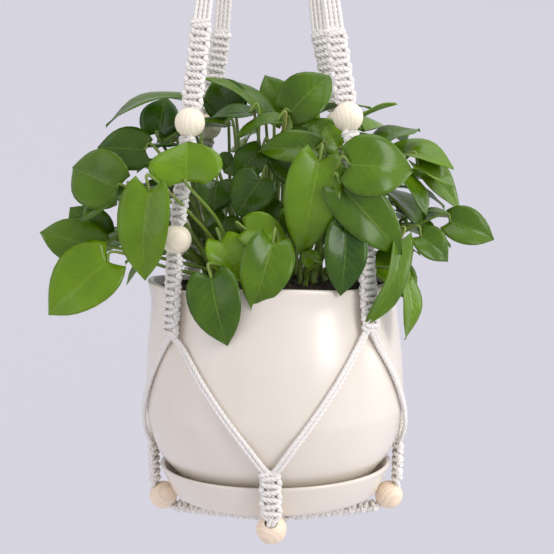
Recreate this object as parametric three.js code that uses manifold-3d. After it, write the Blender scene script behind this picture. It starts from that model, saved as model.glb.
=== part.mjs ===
// Hanging macrame planter: a knotted cotton hanger with turned wooden beads that
// carries a glazed pot on its saucer, planted with a trailing pothos.
// Millimetres, +Z up. The origin is the inner top of the ring, where a hook bears.

import * as THREE from "three";
import { mergeVertices } from "three/addons/utils/BufferGeometryUtils.js";
import Module from "manifold-3d";

const wasm = await Module();
wasm.setup();

// ---- driving dimensions ----

const CORD = 4; // diameter of the cotton cord
const RING_BORE = 52; // inside diameter of the wooden ring
const RING_SECTION = 9;
const LOOPS = 8; // cords folded over the ring, so 16 ends hang from it
const LOOP_SLACK = 2.2; // room between a folded cord and the ring
const WRAP_TOP = -72;
const WRAP_LENGTH = 34;
const WRAP_RADIUS = 12.5;
const CORE_RADIUS = 9; // the bundle of cords inside the wrap
const SINNET_WIDTH = 17; // a sinnet is a run of square knots
const SINNET_THICK = 9;
const KNOT_PITCH = 11.5;
const BUMP = 1.3; // how far each knot's side loop stands out
const BEAD = 25;
const BEAD_HOLE = 10.6;
const THROUGH_CORD = 9.2; // four cords side by side in a bead's hole
const GAP = 0.35; // between pieces that touch on the real object

// Radius and height of the middle of each arm, from the wrap down to where it parts.
const GATHER = [8, WRAP_TOP - WRAP_LENGTH];
const FIRST_KNOT = [78, -499.5];
const FIRST_BEAD = [92.2, -576];
const SECOND_BEAD = [108.6, -667];
const SPLIT = [116, -750.5];

// Radius and height of the lower knots, beads and spokes.
const JOINT = [110.5, -862.5];
const SINNET_FOOT = [109.3, -898.5];
const LOW_BEAD = [102, -910.3];
const SPOKE_OUTER = [90.2, -920.5];
const SPOKE_INNER = [14, -928.5];

const POT_RIM = -715.5;
const POT_FOOT = -898.4;
const POT_WALL = 5;
const POT_HOLE = 8; // radius of the drain hole
const RIM_WAVE = [2.2, 1.8]; // how far the rim swings out and up between the arms
const WAVE_DEPTH = 36; // the wave dies out this far below the rim
const POT_CLEARANCE = 1; // between the pot and the cords that lie on it

// Radius and height over the rim of the heaped soil, from its edge to the middle.
const SOIL_TOP = [
  [101, -6.5],
  [60, 1.5],
  [0, 6],
];

const SAUCER_RIM = -877.7;
const SAUCER_FLOOR = -898.8;
const SAUCER_BASE = -904.2;

// Each arm hangs a little differently, as hand-tied cord does: the rise of its first
// knot, its two beads and its split, how far the first knot sways along the ring of
// arms, and how far the first run of knots is twisted, in degrees.
const ARMS = [
  { name: "front_left", azimuth: 225, rises: [4, -1.5, -6.5, -2.5], sway: 0, twist: 38 },
  { name: "front_right", azimuth: 315, rises: [-4, 1.5, 6.5, 2.5], sway: 0, twist: -38 },
  { name: "back_right", azimuth: 45, rises: [8, 1, 2, 1], sway: 18, twist: 30 },
  { name: "back_left", azimuth: 135, rises: [8, -1, -2, -1], sway: -10, twist: -30 },
];
const SIDES = [
  { name: "front", azimuth: 270 },
  { name: "right", azimuth: 0 },
  { name: "back", azimuth: 90 },
  { name: "left", azimuth: 180 },
];

// ---- materials ----

const material = (color, roughness) =>
  new THREE.MeshStandardMaterial({ color, roughness, metalness: 0 });
const COTTON = material(0xe9e4db, 0.95);
const WOOD = material(0xe3c7a4, 0.6);
const GLAZE = material(0xe8e1d4, 0.25);
const SOIL = material(0x3a2a1e, 1);
const LEAF = material(0x3f7d1c, 0.45);

// ---- solids ----

const part = new THREE.Group();
const degrees = THREE.MathUtils.degToRad;

// A closed geometry as a manifold solid.
function solid(geometry) {
  const bare = geometry.index ? geometry.toNonIndexed() : geometry.clone();
  bare.deleteAttribute("normal");
  bare.deleteAttribute("uv");
  const merged = mergeVertices(bare, 1e-4);
  return new wasm.Manifold(
    new wasm.Mesh({
      numProp: 3,
      vertProperties: merged.attributes.position.array,
      triVerts: new Uint32Array(merged.index.array),
    }),
  );
}

function join(geometries) {
  return geometries.map(solid).reduce((whole, piece) => whole.add(piece));
}

function geometryOf(manifold) {
  const mesh = manifold.getMesh();
  const geometry = new THREE.BufferGeometry();
  geometry.setAttribute("position", new THREE.BufferAttribute(mesh.vertProperties, 3));
  geometry.setIndex(new THREE.BufferAttribute(mesh.triVerts, 1));
  geometry.computeVertexNormals();
  return geometry;
}

function add(parent, name, geometry, finish) {
  const mesh = new THREE.Mesh(geometry, finish);
  mesh.name = name;
  parent.add(mesh);
  return mesh;
}

// A group turned to an azimuth: inside it +X runs outwards and +Y along the ring of arms.
function turned(azimuth) {
  const group = new THREE.Group();
  group.rotation.z = degrees(azimuth);
  part.add(group);
  return group;
}

const at = ([radius, z], y = 0) => new THREE.Vector3(radius, y, z);

function tube(points, radius, sides, steps) {
  const section = new THREE.Shape();
  for (let i = 0; i < sides; i++) {
    const angle = (2 * Math.PI * i) / sides;
    const x = radius * Math.cos(angle);
    const y = radius * Math.sin(angle);
    if (i === 0) section.moveTo(x, y);
    else section.lineTo(x, y);
  }
  const straight = points.length === 2;
  const path = straight ? new THREE.LineCurve3(...points) : new THREE.CatmullRomCurve3(points);
  return new THREE.ExtrudeGeometry(section, { steps, extrudePath: path });
}

// A run of square knots from one point to another, its broad face outwards unless it is
// twisted, as a scalloped outline of a constant thickness.
function sinnet(from, to, twist = 0) {
  const length = from.distanceTo(to);
  const knots = Math.round(length / KNOT_PITCH);
  const pitch = length / knots;
  const wide = SINNET_WIDTH / 2;
  const edge = [];
  for (let i = 0; i < knots; i++) {
    edge.push([wide - BUMP, i * pitch]);
    edge.push([wide, (i + 0.5) * pitch]);
  }
  edge.push([wide - BUMP, length]);
  const outline = [...edge, ...edge.map(([x, y]) => [-x, y]).reverse()];
  const shape = new THREE.Shape(outline.map(([x, y]) => new THREE.Vector2(x, y)));
  const geometry = new THREE.ExtrudeGeometry(shape, { depth: SINNET_THICK, bevelEnabled: false });
  geometry.translate(0, 0, -SINNET_THICK / 2);
  const along = to.clone().sub(from).normalize();
  const outward = new THREE.Vector3(0, 1, 0).cross(along).normalize();
  outward.applyAxisAngle(along, -degrees(twist));
  const across = along.clone().cross(outward);
  const frame = new THREE.Matrix4().makeBasis(across, along, outward).setPosition(from);
  return geometry.applyMatrix4(frame);
}

// The four cords that run on from a sinnet through a bead, as one round core.
const through = (from, to) => tube([from, to], THROUGH_CORD / 2, 10, 1);

function bead(centre, axis) {
  const hole = BEAD_HOLE / 2;
  const round = BEAD / 2;
  const start = Math.asin(hole / round);
  const profile = [];
  const rows = 6;
  for (let i = 0; i <= rows; i++) {
    const angle = start + ((Math.PI - 2 * start) * i) / rows;
    profile.push(new THREE.Vector2(round * Math.sin(angle), -round * Math.cos(angle)));
  }
  profile.push(profile[0].clone());
  const geometry = new THREE.LatheGeometry(profile, 12);
  const turn = new THREE.Quaternion().setFromUnitVectors(new THREE.Vector3(0, 1, 0), axis);
  geometry.applyQuaternion(turn);
  return geometry.translate(centre.x, centre.y, centre.z);
}

// Where a sinnet stops short of a bead, measured from the bead's centre.
const BEAD_REACH = Math.sqrt((BEAD / 2) ** 2 - (BEAD_HOLE / 2) ** 2) + GAP;

// ---- ring, loops and wrap ----

const RING_RADIUS = (RING_BORE + RING_SECTION) / 2;
const RING_CENTRE = -RING_BORE / 2;

function ring() {
  const torus = new THREE.TorusGeometry(RING_RADIUS, RING_SECTION / 2, 8, 28);
  torus.rotateX(Math.PI / 2);
  return torus.translate(0, 0, RING_CENTRE);
}

// One cord folded over the ring's lowest part; both legs run down into the wrap.
function loop(index) {
  const place = index - (LOOPS - 1) / 2;
  const reach = RING_SECTION / 2 + LOOP_SLACK + CORD / 2;
  const lean = (place * CORD) / (RING_RADIUS - reach);
  const outward = new THREE.Vector3(Math.sin(lean), 0, -Math.cos(lean));
  const middle = outward.clone().multiplyScalar(RING_RADIUS);
  middle.z += RING_CENTRE;
  const leg = (y, z) => new THREE.Vector3(place * 1.45, y, WRAP_TOP + z);
  const points = [leg(-3, -4), leg(-3, 1)];
  for (let i = 0; i <= 6; i++) {
    const angle = (Math.PI * i) / 6;
    const point = middle.clone().addScaledVector(outward, -reach * Math.sin(angle));
    point.y = -reach * Math.cos(angle);
    points.push(point);
  }
  points.push(leg(3, 1), leg(3, -4));
  return tube(points, CORD / 2, 6, 11);
}

function core() {
  const cylinder = new THREE.CylinderGeometry(CORE_RADIUS, CORE_RADIUS, WRAP_LENGTH, 12);
  cylinder.rotateX(Math.PI / 2);
  return cylinder.translate(0, 0, WRAP_TOP - WRAP_LENGTH / 2);
}

function wrap() {
  const turns = Math.round(WRAP_LENGTH / CORD);
  const pitch = WRAP_LENGTH / turns;
  const profile = [new THREE.Vector2(CORE_RADIUS + GAP, 0)];
  for (let i = 0; i < turns; i++) {
    profile.push(new THREE.Vector2(WRAP_RADIUS, (i + 0.25) * pitch));
    profile.push(new THREE.Vector2(WRAP_RADIUS, (i + 0.75) * pitch));
    if (i < turns - 1) profile.push(new THREE.Vector2(WRAP_RADIUS - 0.6, (i + 1) * pitch));
  }
  profile.push(new THREE.Vector2(CORE_RADIUS + GAP, WRAP_LENGTH));
  profile.push(profile[0].clone());
  const geometry = new THREE.LatheGeometry(profile, 14);
  geometry.rotateX(Math.PI / 2);
  return geometry.translate(0, 0, WRAP_TOP - WRAP_LENGTH);
}

add(part, "hanging_ring", ring(), WOOD);
const loops = Array.from({ length: LOOPS }, (_, i) => loop(i));
add(part, "ring_loops", geometryOf(join([core(), ...loops])), COTTON);
add(part, "gathering_wrap", wrap(), COTTON);

// ---- arms ----

// First knot, two beads and split of an arm, in its own turned group.
function armStops({ rises, sway }) {
  const places = [FIRST_KNOT, FIRST_BEAD, SECOND_BEAD, SPLIT];
  const sways = [sway, sway * 0.4, 0, 0];
  return places.map(([radius, z], i) => at([radius, z + rises[i]], sways[i]));
}

// Four cords side by side, from the wrap down to the first knot.
function upperCords(knot, twist) {
  const cords = [-1.5, -0.5, 0.5, 1.5].map((place) => {
    const top = at([GATHER[0], GATHER[1] - GAP], place * CORD * 0.7);
    const side = place * CORD * 0.96;
    const foot = at([knot.x - side * Math.sin(degrees(twist)), knot.z + 1.8], knot.y);
    foot.y += side * Math.cos(degrees(twist));
    return tube([top, foot], CORD / 2, 8, 1);
  });
  return join(cords);
}

function buildArm(arm) {
  const group = turned(arm.azimuth);
  const stops = armStops(arm);
  const beads = [stops[1], stops[2]];
  const axes = beads.map((_, i) => stops[i + 2].clone().sub(stops[i]).normalize());
  const above = beads.map((centre, i) => centre.clone().addScaledVector(axes[i], -BEAD_REACH));
  const below = beads.map((centre, i) => centre.clone().addScaledVector(axes[i], BEAD_REACH));
  add(group, `${arm.name}_upper_cords`, geometryOf(upperCords(stops[0], arm.twist)), COTTON);
  const runs = [
    [stops[0], above[0]],
    [below[0], above[1]],
    [below[1], stops[3]],
  ];
  runs.forEach(([from, to], i) => {
    const pieces = [sinnet(from, to, i === 0 ? arm.twist : 0)];
    if (i < beads.length) {
      const inside = above[i].clone().addScaledVector(axes[i], -1);
      const end = below[i].clone().addScaledVector(axes[i], -GAP);
      pieces.push(through(inside, end));
      add(group, `${arm.name}_bead_${i + 1}`, bead(beads[i], axes[i]), WOOD);
    }
    add(group, `${arm.name}_sinnet_${i + 1}`, geometryOf(join(pieces)), COTTON);
  });
}

ARMS.forEach(buildArm);

// ---- pot ----

// Radius and height of the pot's outside, from its foot to its rim.
const POT_OUTLINE = new THREE.SplineCurve(
  [
    [76, POT_FOOT],
    [93.6, -877.3],
    [105.8, -860],
    [113.6, -833],
    [114.7, -816],
    [113, -776],
    [108.2, -734],
    [109.4, POT_RIM],
  ].map(([radius, z]) => new THREE.Vector2(radius, z)),
);

function potRadius(z) {
  let low = 0;
  let high = 1;
  for (let i = 0; i < 24; i++) {
    const middle = (low + high) / 2;
    if (POT_OUTLINE.getPoint(middle).y < z) low = middle;
    else high = middle;
  }
  return POT_OUTLINE.getPoint(low).x;
}

// Turns a profile of radius and height round the upright axis.
function lathe(profile, segments) {
  const points = [...profile, profile[0].clone()];
  const geometry = new THREE.LatheGeometry(points, segments);
  return geometry.rotateX(Math.PI / 2);
}

function pot() {
  const rows = 8;
  const outside = [];
  const inside = [];
  for (let i = 0; i <= rows; i++) {
    const point = POT_OUTLINE.getPoint(i / rows);
    const tangent = POT_OUTLINE.getTangent(i / rows);
    outside.push(point);
    inside.unshift(new THREE.Vector2(point.x - POT_WALL * tangent.y, point.y + POT_WALL * tangent.x));
  }
  inside[0].y = POT_RIM;
  const lip = new THREE.Vector2(outside[rows].x - POT_WALL / 2, POT_RIM + 1.6);
  const floor = POT_FOOT + POT_WALL;
  const hole = [new THREE.Vector2(POT_HOLE, floor), new THREE.Vector2(POT_HOLE, POT_FOOT)];
  const geometry = lathe([...outside, lip, ...inside, ...hole], 32);
  const position = geometry.attributes.position;
  for (let i = 0; i < position.count; i++) {
    const x = position.getX(i);
    const y = position.getY(i);
    const z = position.getZ(i);
    const share = Math.max(0, 1 - (POT_RIM - z) / WAVE_DEPTH) ** 2;
    const wave = share * Math.cos(4 * Math.atan2(y, x));
    const radius = Math.hypot(x, y);
    const grown = 1 + (wave * RIM_WAVE[0]) / radius;
    position.setXYZ(i, x * grown, y * grown, z + wave * RIM_WAVE[1]);
  }
  return geometry;
}

function saucer() {
  const profile = [
    [0, SAUCER_BASE],
    [87, SAUCER_BASE],
    [90.5, SAUCER_BASE + 1.2],
    [97.5, SAUCER_BASE + 14],
    [103.4, SAUCER_RIM],
    [101.4, SAUCER_RIM + 1.4],
    [99.2, SAUCER_RIM],
    [93, SAUCER_BASE + 15],
    [87, SAUCER_FLOOR],
    [0, SAUCER_FLOOR],
  ].map(([radius, z]) => new THREE.Vector2(radius, z));
  const geometry = new THREE.LatheGeometry(profile, 40);
  return geometry.rotateX(Math.PI / 2);
}

function rootBall() {
  const profile = [
    [0, POT_FOOT + POT_WALL + 1.5],
    [68, POT_FOOT + POT_WALL + 1.5],
    [84, POT_RIM - 160],
    [96, POT_RIM - 140],
    [101, POT_RIM - 110],
    ...SOIL_TOP.map(([radius, height]) => [radius, POT_RIM + height]),
  ].map(([radius, z]) => new THREE.Vector2(radius, z));
  const geometry = new THREE.LatheGeometry(profile, 28);
  return geometry.rotateX(Math.PI / 2);
}

add(part, "glazed_pot", pot(), GLAZE);
add(part, "saucer", saucer(), GLAZE);
add(part, "root_ball", rootBall(), SOIL);

// ---- the net under the pot ----

// Share of the way from an arm to the next side, height, and how far the cord's
// middle stands off the pot; the last stretch hangs free of it.
const NET_ROUTE = [
  [0, SPLIT[1] - 1.8, SPLIT[0] - 0.5],
  [0.12, -764.5],
  [0.36, -790],
  [0.62, -818],
  [0.83, -841, 116.6],
  [0.95, -855.5, 113.2],
  [1, JOINT[1] + 1.6, JOINT[0]],
];

// Two cords side by side from the foot of an arm to the knots of one neighbouring side.
function netPair(direction, rise) {
  const rest = POT_CLEARANCE + CORD / 2;
  const cords = [0, 1].map((which) => {
    const points = NET_ROUTE.map(([share, z, radius], i) => {
      const apart = (which ? 5.6 : 1.8) / (radius ?? potRadius(z));
      const joined = (which ? 1.8 : 5.6) / JOINT[0];
      const angle = direction * (apart + share * (Math.PI / 4 - apart - joined));
      const out = radius ?? potRadius(z) + rest;
      const height = i === 0 ? z + rise : z;
      return new THREE.Vector3(out * Math.cos(angle), out * Math.sin(angle), height);
    });
    return tube(points, CORD / 2, 6, 9);
  });
  return join(cords);
}

ARMS.forEach((arm) => {
  const group = turned(arm.azimuth);
  [-1, 1].forEach((direction) => {
    const side = SIDES.find(({ azimuth }) => (azimuth - arm.azimuth - direction * 45) % 360 === 0);
    add(group, `${arm.name}_to_${side.name}_cords`, geometryOf(netPair(direction, arm.rises[3])), COTTON);
  });
});

function buildSide(side) {
  const group = turned(side.azimuth);
  const centre = at(LOW_BEAD);
  const axis = new THREE.Vector3(-1, 0, -1).normalize();
  const into = centre.clone().addScaledVector(axis, -BEAD_REACH - 1);
  const out = centre.clone().addScaledVector(axis, BEAD_REACH - GAP);
  const knots = sinnet(at(JOINT), at(SINNET_FOOT));
  add(group, `${side.name}_lower_sinnet`, geometryOf(join([knots, through(into, out)])), COTTON);
  add(group, `${side.name}_lower_bead`, bead(centre, axis), WOOD);
  add(group, `${side.name}_spoke`, sinnet(at(SPOKE_OUTER), at(SPOKE_INNER)), COTTON);
}

SIDES.forEach(buildSide);

function centreKnot() {
  const geometry = new THREE.SphereGeometry(1, 12, 8);
  geometry.rotateX(Math.PI / 2);
  geometry.scale(SPOKE_INNER[0] - GAP, SPOKE_INNER[0] - GAP, 8);
  return geometry.translate(0, 0, SPOKE_INNER[1]);
}

add(part, "centre_knot", centreKnot(), COTTON);

// ---- pothos ----

const LEAF_THICK = 1.3;
const PETIOLE = 1.7; // radius of a leaf stalk
const FACING = {
  front: [0, -1, 0.25],
  up: [0, -0.35, 1],
  left: [-0.8, -0.6, 0.2],
  right: [0.8, -0.6, 0.2],
  down: [0, -0.8, -0.6],
};

// Each leaf: where the stalk meets it, its tip, its width, the way it faces, and the
// stalk's foot in the soil where it isn't simply towards the middle. Heights are from
// the pot's rim.
const LEAVES = [
  [[-74, -22, 158], [-145, -25, 157], 40, "up"],
  [[-101, 10, 131], [-95, 10, 164], 38, "front"],
  [[-108, -25, 116], [-150, -30, 120], 38, "front"],
  [[-129, -45, 84], [-176, -28, 104], 52, "front"],
  [[-65, -95, 90], [-66, -84, 124], 60, "front", [-46, -66]],
  [[-94, -106, 84], [-104, -108, 10], 46, "front", [-40, -74]],
  [[-150, -30, 32], [-201, -35, 48], 40, "front"],
  [[-138, -50, 22], [-192, -60, -21], 54, "front"],
  [[-150, -10, 40], [-179, -10, 68], 36, "front"],
  [[-36, 15, 150], [-52, 15, 180], 40, "front"],
  [[-4, 5, 146], [-53, 5, 187], 34, "up"],
  [[12, 25, 143], [-6, 25, 184], 36, "front"],
  [[16, -10, 147], [52, -8, 182], 44, "front"],
  [[7, -45, 139], [-29, -50, 131], 30, "up"],
  [[-17, -30, 147], [-54, -30, 147], 30, "up"],
  [[-7, -40, 115], [-32, -45, 92], 30, "front"],
  [[40, -50, 115], [-10, -55, 117], 30, "front"],
  [[24, -40, 93], [-2, -40, 109], 26, "front"],
  [[42, -85, 106], [25, -98, 29], 46, "front"],
  [[65, -98, 102], [119, -96, 98], 50, "front", [54, -60]],
  [[58, -94, 85], [110, -98, 29], 42, "front", [54, -60]],
  [[113, -50, 91], [135, -55, 61], 26, "right"],
  [[125, -20, 102], [168, -20, 62], 32, "right"],
  [[151, -40, 53], [190, -45, 39], 32, "front"],
  [[125, -55, 42], [150, -60, 22], 28, "front"],
  [[62, -98, 52], [60, -107, -3], 36, "front", [50, -62]],
  [[107, -75, 40], [89, -98, -30], 32, "right"],
  [[113, -62, 4], [120, -66, -44], 28, "right"],
  [[-46, -107, 14], [-35, -121, -40], 44, "front", [-32, -72]],
  [[4, -104, 41], [-12, -119, -12], 42, "front", [4, -78]],
  [[-20, -80, 50], [16, -84, 42], 32, "front"],
  [[-40, -80, 41], [-23, -92, 9], 34, "front"],
  [[37, -85, 23], [27, -88, 32], 16, "front"],
  [[53, -20, 115], [35, -20, 143], 34, "front"],
  [[58, -35, 115], [47, -35, 137], 24, "front"],
  [[26, 0, 115], [22, 0, 138], 30, "front"],
  [[52, -30, 102], [48, -35, 76], 32, "front"],
  [[-7, -50, 91], [-29, -60, 61], 40, "front"],
  [[-46, -35, 89], [-50, -40, 61], 32, "front"],
  [[-31, -20, 106], [-42, -20, 96], 26, "front"],
  [[50, -50, 60], [46, -55, 35], 30, "front"],
  [[-94, -36, 68], [-101, -36, 51], 30, "front"],
  [[-93, -34, 42], [-99, -34, 25], 26, "front"],
  [[-5, -40, 72], [-8, -45, 51], 36, "front"],
  [[25, -50, 60], [16, -55, 43], 34, "front"],
  [[-39, -30, 59], [-48, -35, 33], 34, "front"],
];
// Leaves that also stand at the back, turned half a turn.
const BACK_LEAVES = [4, 5, 13, 15, 16, 18, 20, 25, 28, 29, 30, 31, 37];

const HEART = [
  [0, 0],
  [-0.06, 0.25],
  [0.35, 0.5],
  [1, 0],
  [0.35, -0.5],
  [-0.06, -0.25],
];

// Height of the soil over the rim at a radius.
function soilHeight(radius) {
  const [edge, shoulder, middle] = SOIL_TOP;
  const [outer, inner] = radius > shoulder[0] ? [edge, shoulder] : [shoulder, middle];
  const share = (radius - inner[0]) / (outer[0] - inner[0]);
  return inner[1] + share * (outer[1] - inner[1]);
}

function leaf([base, tip, width, facing, foot]) {
  const from = new THREE.Vector3(...base);
  const to = new THREE.Vector3(...tip);
  const length = from.distanceTo(to);
  const outline = HEART.map(([along, across]) => new THREE.Vector2(along * length, across * width));
  const blade = new THREE.ExtrudeGeometry(new THREE.Shape(outline), {
    depth: LEAF_THICK,
    bevelEnabled: false,
  });
  blade.translate(0, 0, -LEAF_THICK / 2);
  const along = to.clone().sub(from).normalize();
  const outward = new THREE.Vector3(...FACING[facing]);
  outward.addScaledVector(along, -outward.dot(along)).normalize();
  const across = outward.clone().cross(along);
  blade.applyMatrix4(new THREE.Matrix4().makeBasis(along, across, outward).setPosition(from));
  const reach = Math.hypot(base[0], base[1]);
  const share = Math.min(62, 0.7 * reach) / reach;
  const [footX, footY] = foot ?? [base[0] * share, base[1] * share];
  const start = new THREE.Vector3(footX, footY, soilHeight(Math.hypot(footX, footY)) + 2.4);
  const middle = new THREE.Vector3(
    footX + 0.35 * (base[0] - footX),
    footY + 0.35 * (base[1] - footY),
    Math.max(base[2] * 0.65, 10),
  );
  const end = from.clone().addScaledVector(along, 2);
  const stalk = tube([start, middle, end], PETIOLE, 3, 3);
  return solid(blade).add(solid(stalk));
}

// The mat of stems on the soil that every stalk grows from.
function crown() {
  const profile = [
    [0, soilHeight(0) + GAP],
    [60, soilHeight(60) + GAP],
    [96, soilHeight(96) + GAP],
    [80, soilHeight(80) + 7],
    [0, soilHeight(0) + 5],
  ].map(([radius, z]) => new THREE.Vector2(radius, z));
  return new THREE.LatheGeometry(profile, 24).rotateX(Math.PI / 2);
}

const opposite = ([x, y, z]) => [-x, -y, z];
const backLeaves = BACK_LEAVES.map((index) => {
  const [base, tip, width, facing, foot] = LEAVES[index];
  const behind = foot ? [-foot[0], -foot[1]] : undefined;
  return [opposite(base), opposite(tip), width, facing, behind];
});

const foliage = [...LEAVES, ...backLeaves].map(leaf);
const plant = foliage.reduce((whole, piece) => whole.add(piece), solid(crown()));
const pothos = add(part, "pothos", geometryOf(plant), LEAF);
pothos.position.z = POT_RIM;

export default part;
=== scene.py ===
"""Hanging macrame planter: the fine shapes and the looks of each piece.

Lengths are metres, +Z up, and the origin is the inner top of the ring.
"""

import math
import random

import bpy
from bpy.props import FloatProperty, FloatVectorProperty, IntProperty, PointerProperty
from mathutils import Matrix, Vector


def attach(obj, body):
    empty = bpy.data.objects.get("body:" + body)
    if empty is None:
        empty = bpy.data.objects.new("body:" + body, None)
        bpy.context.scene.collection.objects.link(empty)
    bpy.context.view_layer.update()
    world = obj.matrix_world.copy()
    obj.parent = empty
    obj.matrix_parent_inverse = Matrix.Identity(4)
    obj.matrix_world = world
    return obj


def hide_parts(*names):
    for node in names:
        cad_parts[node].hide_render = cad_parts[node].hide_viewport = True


bl_info = {
    "name": "Hanging macrame planter",
    "version": (1, 0, 0),
    "blender": (4, 5, 0),
    "location": "3D View > Sidebar > Planter",
    "description": "Builds a knotted cotton plant hanger with its beads, pot and pothos",
    "category": "Add Mesh",
}

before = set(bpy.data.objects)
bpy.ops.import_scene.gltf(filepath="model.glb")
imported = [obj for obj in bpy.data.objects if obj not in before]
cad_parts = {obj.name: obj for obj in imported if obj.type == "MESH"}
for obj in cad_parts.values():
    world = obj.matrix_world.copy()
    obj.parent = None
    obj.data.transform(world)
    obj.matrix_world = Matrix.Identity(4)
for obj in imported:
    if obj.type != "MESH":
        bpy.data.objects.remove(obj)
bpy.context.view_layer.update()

MM = 0.001

# ---- routes, in millimetres, as on the part ----

RING_RADIUS = 30.5
RING_SECTION = 4.5
RING_CENTRE = -26
LOOPS = 8
LOOP_SLACK = 2.2
WRAP_TOP = -72
WRAP_END = -106
FIRST_KNOT = (78, -499.5)
FIRST_BEAD = (92.2, -576)
SECOND_BEAD = (108.6, -667)
SPLIT = (116, -750.5)
JOINT = (110.5, -862.5)
SINNET_FOOT = (109.3, -898.5)
LOW_BEAD = (102, -910.3)
SPOKE_OUTER = (90.2, -920.5)
SPOKE_INNER = (14, -928.5)
BEAD_RADIUS = 12.5
BEAD_HOLE = 5.3
BEAD_REACH = 11.7
KNOT_PITCH = 11.5
KNOT_CORD = 4.6
KNOT_WIDE = 6.9
KNOT_HIGH = 2.6
KNOT_CORE = 1.7
KNOT_LAY = 0.011
KNOT_STEP = 0.0013
# Where four cords lie side by side: in order across, and as the knots take them up.
SIDE_BY_SIDE = (-1.5, -0.5, 0.5, 1.5)
TYING_ORDER = (-1.5, 1.5, -0.5, 0.5)
HEAD_SPACING = 3.84
FOOT_SPACING = 3.7
HOLE_SPACING = 1.75
WHIPPING_TURNS = 9.2
WHIPPING_RADIUS = 10.75
WHIPPING_CORD = 3.7
POT_RIM = -715.5
POT_FOOT = -898.4
POT_WALL = 5
DRAIN = 8
RIM_WAVE = (2.2, 1.8)
WAVE_DEPTH = 36
SAUCER_BASE = -904.2
POT_OUTLINE = [
    (76, POT_FOOT),
    (93.6, -877.3),
    (105.8, -860),
    (113.6, -833),
    (114.7, -816),
    (113, -776),
    (108.2, -734),
    (109.4, POT_RIM),
]
SOIL_TOP = [(101, -6.5), (60, 1.5), (0, 6)]

# Name, azimuth in degrees, the rises of the first knot, the two beads and the split, how
# far the first knot sways across, and the twist of the first run of knots.
ARMS = [
    ("front_left", 225, (4, -1.5, -6.5, -2.5), 0, 38),
    ("front_right", 315, (-4, 1.5, 6.5, 2.5), 0, -38),
    ("back_right", 45, (8, 1, 2, 1), 18, 30),
    ("back_left", 135, (8, -1, -2, -1), -10, -30),
]
SIDES = [("front", 270), ("right", 0), ("back", 90), ("left", 180)]

# Share of the way from an arm to the next side, height, and the cord's radius where
# it hangs free of the pot.
NET_ROUTE = [
    (0, SPLIT[1] - 1.8, SPLIT[0] - 0.5),
    (0.12, -764.5, None),
    (0.36, -790, None),
    (0.62, -818, None),
    (0.83, -841, 116.6),
    (0.95, -855.5, 113.2),
    (1, JOINT[1] + 1.6, JOINT[0]),
]


# ---- points, paths and meshes ----


def on_spoke(azimuth, radius, z, across=0.0):
    """A point in metres at a radius and height, moved across the spoke."""
    angle = math.radians(azimuth)
    out = Vector((math.cos(angle), math.sin(angle), 0))
    side = Vector((-math.sin(angle), math.cos(angle), 0))
    return (out * radius + side * across + Vector((0, 0, z))) * MM


def catmull(points, share):
    """A point of the smooth curve through points, share from 0 to 1, even in its knots."""
    place = share * (len(points) - 1)
    i = min(int(place), len(points) - 2)
    t = place - i
    p1, p2 = Vector(points[i]), Vector(points[i + 1])
    p0 = Vector(points[i - 1]) if i > 0 else p1 * 2 - p2
    p3 = Vector(points[i + 2]) if i + 2 < len(points) else p2 * 2 - p1
    a = (p2 - p0) * 0.5
    b = (p3 - p1) * 0.5
    t2, t3 = t * t, t * t * t
    return (
        p1 * (2 * t3 - 3 * t2 + 1) + a * (t3 - 2 * t2 + t) + p2 * (3 * t2 - 2 * t3) + b * (t3 - t2)
    )


def smooth(points, per_span=5):
    count = (len(points) - 1) * per_span
    return [catmull(points, i / count) for i in range(count + 1)]


def mesh_object(name, vertices, faces):
    mesh = bpy.data.meshes.new(name)
    mesh.from_pydata([tuple(v) for v in vertices], [], faces)
    mesh.validate()
    obj = bpy.data.objects.new(name, mesh)
    bpy.context.scene.collection.objects.link(obj)
    return obj


def shade_smooth(obj):
    obj.data.polygons.foreach_set("use_smooth", [True] * len(obj.data.polygons))
    obj.data.update()


def lathe_mesh(name, profile, segments, shape=None):
    """Turns (radius, height) pairs in mm, outside first, about the upright axis."""
    vertices, faces, rows = [], [], []
    for radius, z in profile:
        if radius < 1e-6:
            rows.append([len(vertices)])
            vertices.append(Vector((0, 0, z)) * MM)
            continue
        row = []
        for k in range(segments):
            angle = 2 * math.pi * k / segments
            point = Vector((radius * math.cos(angle), radius * math.sin(angle), z))
            row.append(len(vertices))
            vertices.append((shape(point) if shape else point) * MM)
        rows.append(row)
    closed = len(rows[0]) > 1 and len(rows[-1]) > 1
    pairs = list(zip(rows, rows[1:])) + ([(rows[-1], rows[0])] if closed else [])
    for low, high in pairs:
        for k in range(segments):
            n = (k + 1) % segments
            if len(low) == 1:
                faces.append((low[0], high[n], high[k]))
            elif len(high) == 1:
                faces.append((low[k], low[n], high[0]))
            else:
                faces.append((low[k], low[n], high[n], high[k]))
    obj = mesh_object(name, vertices, faces)
    shade_smooth(obj)
    return obj


def pot_radius(z):
    low, high = 0.0, 1.0
    outline = [(r, h, 0) for r, h in POT_OUTLINE]
    for _ in range(24):
        middle = (low + high) / 2
        if catmull(outline, middle).y < z:
            low = middle
        else:
            high = middle
    return catmull(outline, low).x


# ---- geometry-node trees ----


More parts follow.
